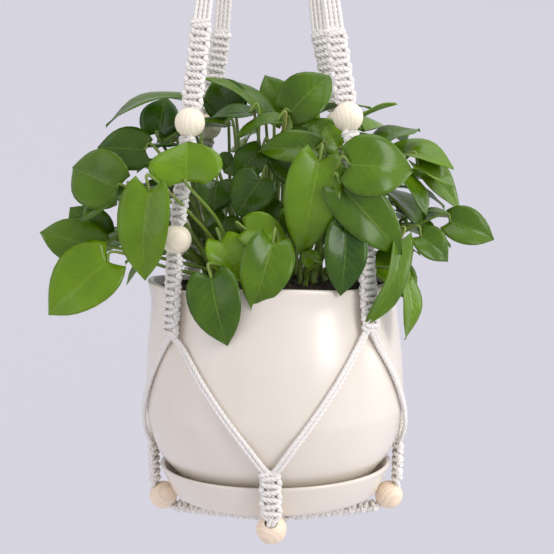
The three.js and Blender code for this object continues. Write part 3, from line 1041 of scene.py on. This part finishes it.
class PLANTER_OT_nest(bpy.types.Operator):
    """Tie the knots below the net, through the lower beads and on to the centre knot"""

    bl_idname = "planter.nest"
    bl_label = "Nest under the saucer"

    def execute(self, context):
        for name, azimuth in SIDES:
            joint = on_spoke(azimuth, *JOINT)
            foot = on_spoke(azimuth, SINNET_FOOT[0], SINNET_FOOT[1] + 1)
            centre, axis = low_bead(azimuth)
            outer = on_spoke(azimuth, *SPOKE_OUTER)
            inner = on_spoke(azimuth, SPOKE_INNER[0] + 1, SPOKE_INNER[1])
            runs = [(joint, foot, None), (outer, inner, Vector((0, 0, -1)))]
            ends = []
            for place in TYING_ORDER:
                first = on_spoke(azimuth, JOINT[0], JOINT[1] + 1.5, place * FOOT_SPACING)
                last = on_spoke(azimuth, 7, SPOKE_INNER[1], place * 1.5)
                ends.append((first, last))
            cords = knotted(ends, azimuth, runs, [(centre, axis)])
            made = knot_cords(context, f"{name}_nest_knots", cords)
            ride_hanger(made, f"{name}_lower_sinnet", f"{name}_spoke")
        rings = []
        middle = Vector((0, 0, SPOKE_INNER[1])) * MM
        for radius, height, lean in (
            (9.2, 4.0, 14),
            (10.6, 1.2, -12),
            (10.6, -2.0, 9),
            (8.6, -4.6, -8),
            (5.0, 5.4, 10),
            (4.6, -6.0, -14),
        ):
            tilt = Matrix.Rotation(math.radians(lean), 3, "X" if height > 0 else "Y")
            points = []
            for k in range(48):
                angle = math.tau * k / 48
                flat = Vector((radius * math.cos(angle), radius * math.sin(angle), height))
                points.append(middle + tilt @ flat * MM)
            rings.append(points)
        knot = rope("centre_knot_cords", rings, 0.0039, cotton(context), KNOT_LAY, closed=True)
        ride_hanger(knot, "centre_knot")
        return {"FINISHED"}


class PLANTER_OT_beads(bpy.types.Operator):
    """Turn the drilled beads and thread each on its cords"""

    bl_idname = "planter.beads"
    bl_label = "Beads"

    def execute(self, context):
        settings = context.scene.planter_wood
        colour = tuple(settings.bead_colour)
        wood = wood_finish("Bead wood", colour, tinted(colour, 0.9), 90.0)
        # Painted shade and painted warm reflection: the lower beads take a darker, redder copy of the
        # bead wood.
        shaded_low_colour = tuple(settings.low_bead_colour)
        shaded_low_wood = wood_finish("Lower bead wood", shaded_low_colour, tinted(shaded_low_colour, 0.88), 90.0)
        places = []
        for name, azimuth, rises, sway, _ in ARMS:
            stops, axes = arm_stops(azimuth, rises, sway)
            for k in (0, 1):
                places.append((f"{name}_bead_{k + 1}", stops[k + 1], axes[k]))
        for name, azimuth in SIDES:
            places.append((f"{name}_lower_bead", *low_bead(azimuth)))
        profile = []
        start = math.asin(BEAD_HOLE / BEAD_RADIUS)
        soft = 0.07
        for k in range(25):
            angle = start + soft + (math.pi - 2 * start - 2 * soft) * k / 24
            profile.append((BEAD_RADIUS * math.sin(angle), -BEAD_RADIUS * math.cos(angle)))
        edge = BEAD_RADIUS * math.cos(start)
        lip = [
            (BEAD_HOLE + 0.35, edge - 0.05),
            (BEAD_HOLE, edge - 0.5),
        ]
        wall = [(BEAD_HOLE, z) for z in (6, 2, -2, -6)]
        under = [(r, -z) for r, z in reversed(lip)]
        profile = [*profile, *lip, *wall, *under]
        chance = random.Random(11)
        for name, centre, axis in places:
            bead = lathe_mesh("turned_" + name, profile, 40)
            spin = Matrix.Rotation(chance.uniform(0, math.tau), 4, "Z")
            tip = Matrix.Rotation(chance.uniform(0, math.pi), 3, "X")
            offset = Vector((chance.random(), chance.random(), chance.random())) * 0.2
            mark(bead, "grain", [tip @ v.co + offset for v in bead.data.vertices])
            turn = axis.to_track_quat("Z", "Y").to_matrix().to_4x4()
            bead.data.transform(Matrix.Translation(centre) @ turn @ spin)
            bead.data.materials.append(shaded_low_wood if name.endswith("lower_bead") else wood)
            settle(bead, name + "_body", "bead_wood", name)
        return {"FINISHED"}


def waved(point):
    """Swings the rim out and up between the arms, less and less below it."""
    share = max(0.0, 1 - (POT_RIM - point.z) / WAVE_DEPTH) ** 2
    wave = share * math.cos(4 * math.atan2(point.y, point.x))
    radius = math.hypot(point.x, point.y)
    grown_by = 1 + wave * RIM_WAVE[0] / max(radius, 1e-6)
    return Vector((point.x * grown_by, point.y * grown_by, point.z + wave * RIM_WAVE[1]))


class PLANTER_OT_pot(bpy.types.Operator):
    """Throw the pot with its waved rim and dip it in glaze"""

    bl_idname = "planter.pot"
    bl_label = "Pot"

    def execute(self, context):
        outline = [(r, z, 0) for r, z in POT_OUTLINE]
        rows = 56
        outside, inside = [], []
        for i in range(rows + 1):
            point = catmull(outline, i / rows)
            ahead = catmull(outline, min(1, i / rows + 0.002))
            behind = catmull(outline, max(0, i / rows - 0.002))
            tangent = (ahead - behind).normalized()
            outside.append((point.x, point.y))
            inner = Vector((-tangent.y, tangent.x, 0)) * POT_WALL
            inside.append((point.x + inner.x, point.y + inner.y))
        rim = POT_OUTLINE[-1][0] - POT_WALL / 2
        lip = []
        for k in range(1, 8):
            angle = math.pi * k / 8
            lip.append(
                (rim + POT_WALL / 2 * math.cos(angle), POT_RIM + 1.7 * math.sin(angle))
            )
        floor = POT_FOOT + POT_WALL
        inside = [p for p in reversed(inside) if p[1] > floor + 1]
        inside[0] = (rim - POT_WALL / 2, POT_RIM)
        bottom = [
            (inside[-1][0] - 4, floor),
            (DRAIN + 0.6, floor),
            (DRAIN, floor - 0.6),
            (DRAIN, POT_FOOT + 2.1),
            (DRAIN + 0.6, POT_FOOT + 1.5),
            (66, POT_FOOT + 1.5),
            (67.5, POT_FOOT + 0.4),
            (69, POT_FOOT),
        ]
        outside[0] = (75, POT_FOOT)
        outside.insert(1, (76.3, POT_FOOT + 0.7))
        pot = lathe_mesh("waved_pot", [*outside, *lip, *inside, *bottom], 160, waved)
        settings = context.scene.planter_pot
        glaze = glaze_finish(tuple(settings.glaze), settings.roughness)
        pot.data.materials.append(glaze)
        settle(pot, "pot_body", "pot_glaze", "glazed_pot")
        return {"FINISHED"}


class PLANTER_OT_saucer(bpy.types.Operator):
    """Throw the saucer that the pot stands on"""

    bl_idname = "planter.saucer"
    bl_label = "Saucer"

    def execute(self, context):
        base = SAUCER_BASE
        profile = [
            (0, base + 1.2),
            (74, base + 1.2),
            (76, base),
            (86.4, base),
            (88.6, base + 0.3),
            (90.5, base + 1.4),
            (92.4, base + 4),
            (97.5, base + 14.2),
            (102.6, base + 24.6),
            (103.3, base + 26.4),
            (102.7, base + 27.5),
            (101.4, base + 27.9),
            (100.1, base + 27.4),
            (99.2, base + 26),
            (97.2, base + 22.4),
            (93, base + 14.6),
            (89.6, base + 8.6),
            (87.4, base + 6.2),
            (84, base + 5.4),
            (0, base + 5.4),
        ]
        saucer = lathe_mesh("thrown_saucer", profile, 160)
        glaze = bpy.data.materials.get("Cream glaze")
        if glaze is None:
            raise RuntimeError("make the pot first, for its glaze")
        saucer.data.materials.append(glaze)
        settle(saucer, "saucer_body", "pot_glaze", "saucer")
        return {"FINISHED"}


def soil_height(radius):
    """Height of the soil over the rim at a radius, in mm."""
    edge, shoulder, middle = SOIL_TOP
    outer, inner = (edge, shoulder) if radius > shoulder[0] else (shoulder, middle)
    share = (radius - inner[0]) / (outer[0] - inner[0])
    return inner[1] + share * (outer[1] - inner[1])


class PLANTER_OT_soil(bpy.types.Operator):
    """Fill the pot with lumpy potting soil"""

    bl_idname = "planter.soil"
    bl_label = "Soil"

    def execute(self, context):
        floor = POT_FOOT + POT_WALL + 1.5
        profile = [
            (0, floor),
            (60, floor),
            (68, floor),
            (84, POT_RIM - 160),
            (96, POT_RIM - 140),
            (101, POT_RIM - 110),
            (101, POT_RIM - 40),
        ]
        for radius in (101, 99, 94, 88, 82, 76, 70, 64, 58, 52, 46, 40, 34, 28, 22, 16, 10, 5, 0):
            profile.append((radius, POT_RIM + soil_height(radius)))

        def lumpy(point):
            if point.z < POT_RIM - 20:
                return point
            radius = math.hypot(point.x, point.y)
            lump = math.sin(point.x * 0.31) * math.sin(point.y * 0.27 + 1.3)
            lump += 0.6 * math.sin(point.x * 0.73 + 2.1) * math.sin(point.y * 0.81)
            return point + Vector((0, 0, lump * min(1.0, (101 - radius) / 8)))

        host = lathe_mesh("soil_host", profile, 72, lumpy)
        colour = tuple(context.scene.planter_pot.soil)
        soil = grown(
            host,
            scatter_tree(),
            "potting_soil",
            density=26000.0,
            lump_size=0.0032,
            seed=4,
            soil=soil_finish(colour),
        )
        settle(soil, "plant_body", "potting_soil", "root_ball")
        return {"FINISHED"}


# ---- pothos ----

FACING = {
    "front": (0, -1, 0.3),
    "up": (0, -0.35, 1),
    "right": (0.8, -0.6, 0.3),
}

# Each leaf: where its stalk meets it, its tip, its width, the way it faces, how young
# it is from 0 to 1, and how far its tip curls down. Heights are from the pot's rim.
LEAVES = [
    ((-74, -22, 158), (-145, -25, 157), 40, "up", 0.35, 0.22),
    ((-101, 10, 131), (-95, 10, 164), 38, "front", 0.15, 0.1),
    ((-108, -25, 116), (-150, -30, 120), 38, "front", 0.2, 0.1),
    ((-129, -45, 84), (-176, -28, 104), 52, "front", 0.4, 0.12),
    ((-65, -95, 90), (-66, -84, 124), 60, "front", 0.75, 0.1),
    ((-94, -106, 84), (-104, -108, 10), 46, "front", 0.62, 0.12),
    ((-150, -30, 32), (-201, -35, 48), 40, "front", 0.4, 0.1),
    ((-138, -50, 22), (-192, -60, -21), 54, "front", 0.8, 0.1),
    ((-150, -10, 40), (-179, -10, 68), 36, "front", 0.25, 0.1),
    ((-36, 15, 150), (-52, 15, 180), 40, "front", 0.15, 0.1),
    ((-4, 5, 146), (-53, 5, 187), 34, "up", 0.4, 0.12),
    ((12, 25, 143), (-6, 25, 184), 36, "front", 0.35, 0.1),
    ((16, -10, 147), (52, -8, 182), 44, "front", 0.35, 0.12),
    ((7, -45, 139), (-29, -50, 131), 30, "up", 0.3, 0.12),
    ((-17, -30, 147), (-54, -30, 147), 30, "up", 0.15, 0.12),
    ((-7, -40, 115), (-32, -45, 92), 30, "front", 0.15, 0.12),
    ((40, -50, 115), (-10, -55, 117), 30, "front", 0.35, 0.12),
    ((24, -40, 93), (-2, -40, 109), 26, "front", 0.3, 0.1),
    ((42, -85, 106), (25, -98, 29), 46, "front", 0.6, 0.14),
    ((65, -98, 102), (119, -96, 98), 50, "front", 0.42, 0.18),
    ((58, -94, 85), (110, -98, 29), 42, "front", 0.3, 0.16),
    ((113, -50, 91), (135, -55, 61), 26, "right", 0.35, 0.1),
    ((125, -20, 102), (168, -20, 62), 32, "right", 0.5, 0.1),
    ((151, -40, 53), (190, -45, 39), 32, "front", 0.35, 0.14),
    ((125, -55, 42), (150, -60, 22), 28, "front", 0.35, 0.14),
    ((62, -98, 52), (60, -107, -3), 36, "front", 0.12, 0.14),
    ((107, -75, 40), (89, -98, -30), 32, "right", 0.45, 0.14),
    ((113, -62, 4), (120, -66, -44), 28, "right", 0.65, 0.14),
    ((-46, -107, 14), (-35, -121, -40), 44, "front", 0.22, 0.16),
    ((4, -104, 41), (-12, -119, -12), 42, "front", 0.4, 0.16),
    ((-20, -80, 50), (16, -84, 42), 32, "front", 0.75, 0.14),
    ((-40, -80, 41), (-23, -92, 9), 34, "front", 0.95, 0.12),
    ((37, -85, 23), (27, -88, 32), 16, "front", 0.6, 0.05),
    ((53, -20, 115), (35, -20, 143), 34, "front", 0.4, 0.1),
    ((58, -35, 115), (47, -35, 137), 24, "front", 0.6, 0.1),
    ((26, 0, 115), (22, 0, 138), 30, "front", 0.5, 0.1),
    ((52, -30, 102), (48, -35, 76), 32, "front", 0.2, 0.1),
    ((-7, -50, 91), (-29, -60, 61), 40, "front", 0.2, 0.12),
    ((-46, -35, 89), (-50, -40, 61), 32, "front", 0.15, 0.1),
    ((-31, -20, 106), (-42, -20, 96), 26, "front", 0.3, 0.1),
    ((50, -50, 60), (46, -55, 35), 30, "front", 0.3, 0.1),
    ((-94, -36, 68), (-101, -36, 51), 30, "front", 0.3, 0.1),
    ((-93, -34, 42), (-99, -34, 25), 26, "front", 0.35, 0.1),
    ((-5, -40, 72), (-8, -45, 51), 36, "front", 0.3, 0.1),
    ((25, -50, 60), (16, -55, 43), 34, "front", 0.35, 0.1),
    ((-39, -30, 59), (-48, -35, 33), 34, "front", 0.25, 0.1),
]
LEAF_WIDTHS = [
    (0.0, 0.52),
    (0.06, 0.74),
    (0.14, 0.9),
    (0.24, 0.985),
    (0.34, 1.0),
    (0.46, 0.97),
    (0.58, 0.88),
    (0.7, 0.73),
    (0.8, 0.54),
    (0.88, 0.34),
    (0.94, 0.17),
    (0.98, 0.06),
    (1.0, 0.012),
]
LEAF_THICK = 0.7
PLANT_LIFT = 25
ARM_ROOM = 14
INNER_LEAVES = 58
INNER_TRIES = 6000
BACK_REACH = 126


def leaf_shell(base, tip, width, outward, curl, fold, ripple, chance):
    """Vertices in mm, faces and blade coordinates of one leaf with a real thickness."""
    along = (tip - base).normalized()
    out = (outward - along * outward.dot(along)).normalized()
    across = along.cross(out)
    length = (tip - base).length
    columns = 10
    top = []
    blade = []
    phase = chance.uniform(0, math.tau)
    for share, wide in LEAF_WIDTHS:
        for k in range(columns + 1):
            s = 2 * k / columns - 1
            side = abs(s)
            half = wide * width / 2
            back = 0.13 * length * (1 - share) ** 4 * side**1.3
            rise = fold * side * half
            rise -= 1.35 * curl * length * share**2
            rise += 0.45 * curl * length * math.sin(math.pi * share)
            rise += ripple * side**2 * math.sin(7 * share + phase + (2.2 if s > 0 else 0))
            rise -= 0.10 * half * side**3
            x = share * length * (1 - 0.12 * curl) - back
            top.append(base + along * x + across * s * half + out * rise)
            blade.append((share, s, 0))
    rows = len(LEAF_WIDTHS)
    count = len(top)
    bottom = [p - out * LEAF_THICK for p in top]
    faces = []
    wide = columns + 1
    for i in range(rows - 1):
        for k in range(columns):
            a, b = i * wide + k, i * wide + k + 1
            c, d = a + wide, b + wide
            faces.append((a, b, d, c))
            faces.append((count + a, count + c, count + d, count + b))
    edge = [i * wide for i in range(rows)]
    edge += [(rows - 1) * wide + k for k in range(1, wide)]
    edge += [i * wide + columns for i in range(rows - 2, -1, -1)]
    edge += range(columns - 1, 0, -1)
    for a, b in zip(edge, edge[1:] + edge[:1]):
        faces.append((a, b, count + b, count + a))
    return top + bottom, faces, blade + [(u, v, 1) for u, v, _ in blade], count


def stalk_shell(points, radii, sides=8):
    """Vertices and faces of a closed tapering tube, in mm."""
    vertices, faces = [], []
    last = None
    for i, point in enumerate(points):
        ahead = points[min(i + 1, len(points) - 1)] - points[max(i - 1, 0)]
        ahead.normalize()
        side = last - ahead * last.dot(ahead) if last else ahead.orthogonal()
        side.normalize()
        last = side
        other = ahead.cross(side)
        for k in range(sides):
            angle = math.tau * k / sides
            vertices.append(point + (side * math.cos(angle) + other * math.sin(angle)) * radii[i])
    for i in range(len(points) - 1):
        for k in range(sides):
            n = (k + 1) % sides
            a, b = i * sides + k, i * sides + n
            faces.append((a, b, b + sides, a + sides))
    faces.append(tuple(reversed(range(sides))))
    faces.append(tuple(range(len(vertices) - sides, len(vertices))))
    return vertices, faces


def stalk_path(base, along, foot):
    """From the soil up in an arc that meets the leaf from behind."""
    start = Vector((foot[0], foot[1], soil_height(math.hypot(*foot)) - 1))
    rise = max(base.z * 0.62, 14)
    low = Vector((foot[0] * 1.03, foot[1] * 1.03, min(rise * 0.5, 18)))
    middle = Vector(
        (foot[0] + 0.36 * (base.x - foot[0]), foot[1] + 0.36 * (base.y - foot[1]), rise)
    )
    near = base - along * 7 + Vector((0, 0, 4))
    return smooth([start, low, middle, near, base + along * 1.5], 6)


def arm_axis(azimuth, z):
    """Middle of an arm at a height over the rim, in mm."""
    height = POT_RIM + z
    knots = [SPLIT, SECOND_BEAD, FIRST_BEAD, FIRST_KNOT]
    for (r0, z0), (r1, z1) in zip(knots, knots[1:]):
        if height <= z1:
            share = max(0.0, (height - z0) / (z1 - z0))
            return on_spoke(azimuth, r0 + share * (r1 - r0), height) / MM
    return on_spoke(azimuth, *FIRST_KNOT) / MM


def clear_of_arms(base, tip, width):
    """Whether a leaf misses the arms, in place and as the plant is lifted out."""
    for _, azimuth, *_ in ARMS:
        for share in (0, 0.25, 0.5, 0.75, 1):
            point = base.lerp(tip, share)
            reach = ARM_ROOM + (0.5 * width if share < 0.8 else 0.15 * width) * 0.9
            for lift in (0, PLANT_LIFT / 2, PLANT_LIFT):
                middle = arm_axis(azimuth, point.z + lift)
                if math.hypot(point.x - middle.x, point.y - middle.y) < reach:
                    return False
    return True


def inner_leaves(seed):
    """Leaves that fill the middle and the back, each clear of the four arms."""
    chance = random.Random(seed)
    grown_leaves = []
    tries = 0
    while len(grown_leaves) < INNER_LEAVES and tries < INNER_TRIES:
        tries += 1
        azimuth = math.radians(chance.uniform(-15, 195))
        height = chance.uniform(18, 150)
        spread = 40 + 95 * math.sin(math.pi * min(1.0, (height + 30) / 190))
        radius = spread * chance.uniform(0.45, 1.0)
        base = Vector((radius * math.cos(azimuth), radius * math.sin(azimuth), height))
        length = chance.uniform(44, 64)
        aim = azimuth + chance.uniform(-0.8, 0.8)
        drop = chance.uniform(-0.85, 0.5) if height < 110 else chance.uniform(-0.1, 0.8)
        along = Vector((math.cos(aim), math.sin(aim), drop)).normalized()
        tip = base + along * length
        width = length * chance.uniform(0.66, 0.82)
        if height < 45 and math.hypot(tip.x, tip.y) < 118 and tip.z < 12:
            continue
        if max(base.y, tip.y) > BACK_REACH:
            continue
        if not clear_of_arms(base, tip, width):
            continue
        if any((base - b).length < 24 or (tip - t).length < 22 for b, t, *_ in grown_leaves):
            continue
        outward = Vector((math.cos(aim), math.sin(aim), chance.uniform(0.5, 1.3)))
        grown_leaves.append(
            (base, tip, width, outward, chance.uniform(0.1, 0.7), chance.uniform(0.08, 0.2))
        )
    return grown_leaves


class PLANTER_OT_pothos(bpy.types.Operator):
    """Grow the pothos: placed leaves in front, inner ones behind, a stalk to each"""

    bl_idname = "planter.pothos"
    bl_label = "Pothos"

    def execute(self, context):
        settings = context.scene.planter_plant
        chance = random.Random(settings.seed + 1)
        leaves = [
            (Vector(b), Vector(t), w, Vector(FACING[f]), tint, curl)
            for b, t, w, f, tint, curl in LEAVES
        ]
        leaves += inner_leaves(settings.seed)
        vertices, faces, blades, tints, slots = [], [], [], [], []
        stalk_vertices, stalk_faces = [], []
        for base, tip, width, outward, tint, curl in leaves:
            turn = Vector((chance.uniform(-0.25, 0.25), 0, chance.uniform(-0.2, 0.25)))
            shell, sides, blade, count = leaf_shell(
                base,
                tip,
                width,
                (outward.normalized() + turn).normalized(),
                curl,
                chance.uniform(0.2, 0.42),
                chance.uniform(0.9, 2.4),
                chance,
            )
            start = len(vertices)
            vertices += shell
            for face in sides:
                faces.append(tuple(start + i for i in face))
                slots.append(1 if min(face) >= count else 0)
            blades += blade
            tints += [tint] * len(shell)
            along = (tip - base).normalized()
            reach = math.hypot(base.x, base.y)
            pull = min(56.0, 0.6 * reach) / max(reach, 1)
            foot = (
                base.x * pull + chance.uniform(-8, 8),
                base.y * pull + chance.uniform(-8, 8),
            )
            path = stalk_path(base, along, foot)
            radii = [2.0 - 0.9 * i / (len(path) - 1) for i in range(len(path))]
            tube, walls = stalk_shell(path, radii)
            first = len(stalk_vertices)
            stalk_vertices += tube
            stalk_faces += [tuple(first + i for i in face) for face in walls]
        lift = Vector((0, 0, POT_RIM))
        foliage = mesh_object("pothos_leaves", [(v + lift) * MM for v in vertices], faces)
        shade_smooth(foliage)
        mark(foliage, "blade", blades)
        mark(foliage, "tint", tints)
        dark, bright = tuple(settings.dark), tuple(settings.bright)
        foliage.data.materials.append(
            leaf_finish("Pothos leaf", dark, bright, (0.30, 0.42, 0.05), 0.36)
        )
        foliage.data.materials.append(
            leaf_finish(
                "Leaf underside", tinted(dark, 1.9), tinted(bright, 0.9), (0.34, 0.46, 0.12), 0.5
            )
        )
        foliage.data.polygons.foreach_set("material_index", slots)
        settle(foliage, "plant_body", "pothos_leaf", "pothos")
        stalks = mesh_object("pothos_stalks", [(v + lift) * MM for v in stalk_vertices], stalk_faces)
        shade_smooth(stalks)
        stalks.data.materials.append(stalk_finish(tuple(settings.stalk), (0.30, 0.17, 0.06)))
        settle(stalks, "plant_body", "pothos_leaf")
        return {"FINISHED"}


# ---- stage ----

FLOOR = -2600
FLOOR_RADIUS = 3600
WALL_BEND = 1400
WALL_TOP = 8000
BACKDROP_GLOW = 0.61
AIR_GLOW = 0.42
LENS = 78
CAMERA_AWAY = 1.062
CAMERA_HEIGHT = -0.609
# Degrees round the planter, down, sideways about the view, and to the side of the axis.
CAMERA_TURN, CAMERA_PITCH, CAMERA_ROLL, CAMERA_ASIDE = 2.2, 5.57, 0.6, 0.17
PLANTER_MIDDLE = (0, 0, -0.75)
# Name, place, size and share of the key light's power.
LIGHTS = [
    ("Key window", (1.55, -1.35, -0.15), (0.7, 1.4), 1),
    ("Fill", (-1.9, -1.3, -0.3), (1.4, 1.6), 0.36),
    ("Top", (0.4, -0.1, 1.0), (1.6, 1.6), 0.8),
    ("Side", (2.1, 0.35, -0.3), (0.8, 1.4), 0.6),
]


def soft_light(name, place, aim, size, power):
    data = bpy.data.lights.new(name, "AREA")
    data.shape = "RECTANGLE"
    data.size, data.size_y = size
    data.energy = power
    light = bpy.data.objects.new(name, data)
    bpy.context.scene.collection.objects.link(light)
    light.location = place
    light.rotation_euler = (Vector(aim) - Vector(place)).to_track_quat("-Z", "Y").to_euler()


class PLANTER_OT_stage(bpy.types.Operator):
    """Set up the camera, the plain pale floor with its curved wall, and the lights"""

    bl_idname = "planter.stage"
    bl_label = "Stage"

    def execute(self, context):
        data = bpy.data.cameras.new("Camera")
        data.lens = LENS
        data.sensor_width = 36
        data.clip_end = 50
        camera = bpy.data.objects.new("Camera", data)
        context.scene.collection.objects.link(camera)
        turn, pitch, roll = (math.radians(a) for a in (CAMERA_TURN, CAMERA_PITCH, CAMERA_ROLL))
        aim = turn - math.radians(CAMERA_ASIDE)
        away = CAMERA_AWAY
        camera.location = (away * math.sin(turn), -away * math.cos(turn), CAMERA_HEIGHT)
        forward = Vector(
            (-math.sin(aim) * math.cos(pitch), math.cos(aim) * math.cos(pitch), -math.sin(pitch))
        )
        look = forward.to_track_quat("-Z", "Y").to_matrix()
        camera.rotation_euler = (look @ Matrix.Rotation(-roll, 3, "Z")).to_euler()
        context.scene.camera = camera

        settings = context.scene.planter_stage
        colour = tuple(settings.backdrop)
        profile = [(0, FLOOR), (FLOOR_RADIUS, FLOOR)]
        for k in range(1, 13):
            angle = math.pi / 2 * k / 12
            radius = FLOOR_RADIUS + WALL_BEND * math.sin(angle)
            profile.append((radius, FLOOR + WALL_BEND * (1 - math.cos(angle))))
        profile.append((FLOOR_RADIUS + WALL_BEND, WALL_TOP))
        bowl = lathe_mesh("floor_and_wall", profile, 96)
        finish = Finish("Floor and wall", colour, 0.95, Specular_IOR_Level=0.1)
        finish.shader.inputs["Emission Color"].default_value = (*colour, 1)
        finish.shader.inputs["Emission Strength"].default_value = BACKDROP_GLOW
        grain = finish.noise(finish.place(), 60.0)
        pale = tinted(colour, 0.5)
        finish.colour(finish.ramp(grain, (0.3, tinted(pale, 0.985)), (0.7, pale)))
        bowl.data.materials.append(finish.material)

        world = bpy.data.worlds.new("Studio air")
        world.use_nodes = True
        air = world.node_tree.nodes["Background"]
        air.inputs["Color"].default_value = (0.95, 0.95, 1.0, 1)
        air.inputs["Strength"].default_value = AIR_GLOW
        context.scene.world = world
        for name, place, size, share in LIGHTS:
            soft_light(name, place, PLANTER_MIDDLE, size, settings.power * share)
        context.scene.view_settings.view_transform = "Standard"
        return {"FINISHED"}


STEPS = (
    PLANTER_OT_stage,
    PLANTER_OT_free_cords,
    PLANTER_OT_net,
    PLANTER_OT_gathering,
    PLANTER_OT_arm_knots,
    PLANTER_OT_nest,
    PLANTER_OT_ring,
    PLANTER_OT_beads,
    PLANTER_OT_pot,
    PLANTER_OT_saucer,
    PLANTER_OT_soil,
    PLANTER_OT_pothos,
)


class PLANTER_PT_panel(bpy.types.Panel):
    """Lists the planter's settings and steps"""

    bl_idname = "PLANTER_PT_panel"
    bl_label = "Macrame planter"
    bl_space_type = "VIEW_3D"
    bl_region_type = "UI"
    bl_category = "Planter"

    def draw(self, context):
        for name in SETTINGS:
            box = self.layout.box()
            group = getattr(context.scene, name)
            for key in group.__annotations__:
                box.prop(group, key)
        for step in STEPS:
            self.layout.operator(step.bl_idname)


SETTINGS = {
    "planter_cord": CordSettings,
    "planter_wood": WoodSettings,
    "planter_pot": PotSettings,
    "planter_plant": PlantSettings,
    "planter_stage": StageSettings,
}


def register():
    for name, group in SETTINGS.items():
        bpy.utils.register_class(group)
        setattr(bpy.types.Scene, name, PointerProperty(type=group))
    for step in (*STEPS, PLANTER_PT_panel):
        bpy.utils.register_class(step)


def unregister():
    for step in (PLANTER_PT_panel, *reversed(STEPS)):
        bpy.utils.unregister_class(step)
    for name, group in reversed(SETTINGS.items()):
        delattr(bpy.types.Scene, name)
        bpy.utils.unregister_class(group)


def main():
    register()
    for step in STEPS:
        category, action = step.bl_idname.split(".")
        getattr(getattr(bpy.ops, category), action)()


if __name__ == "__main__":
    main()
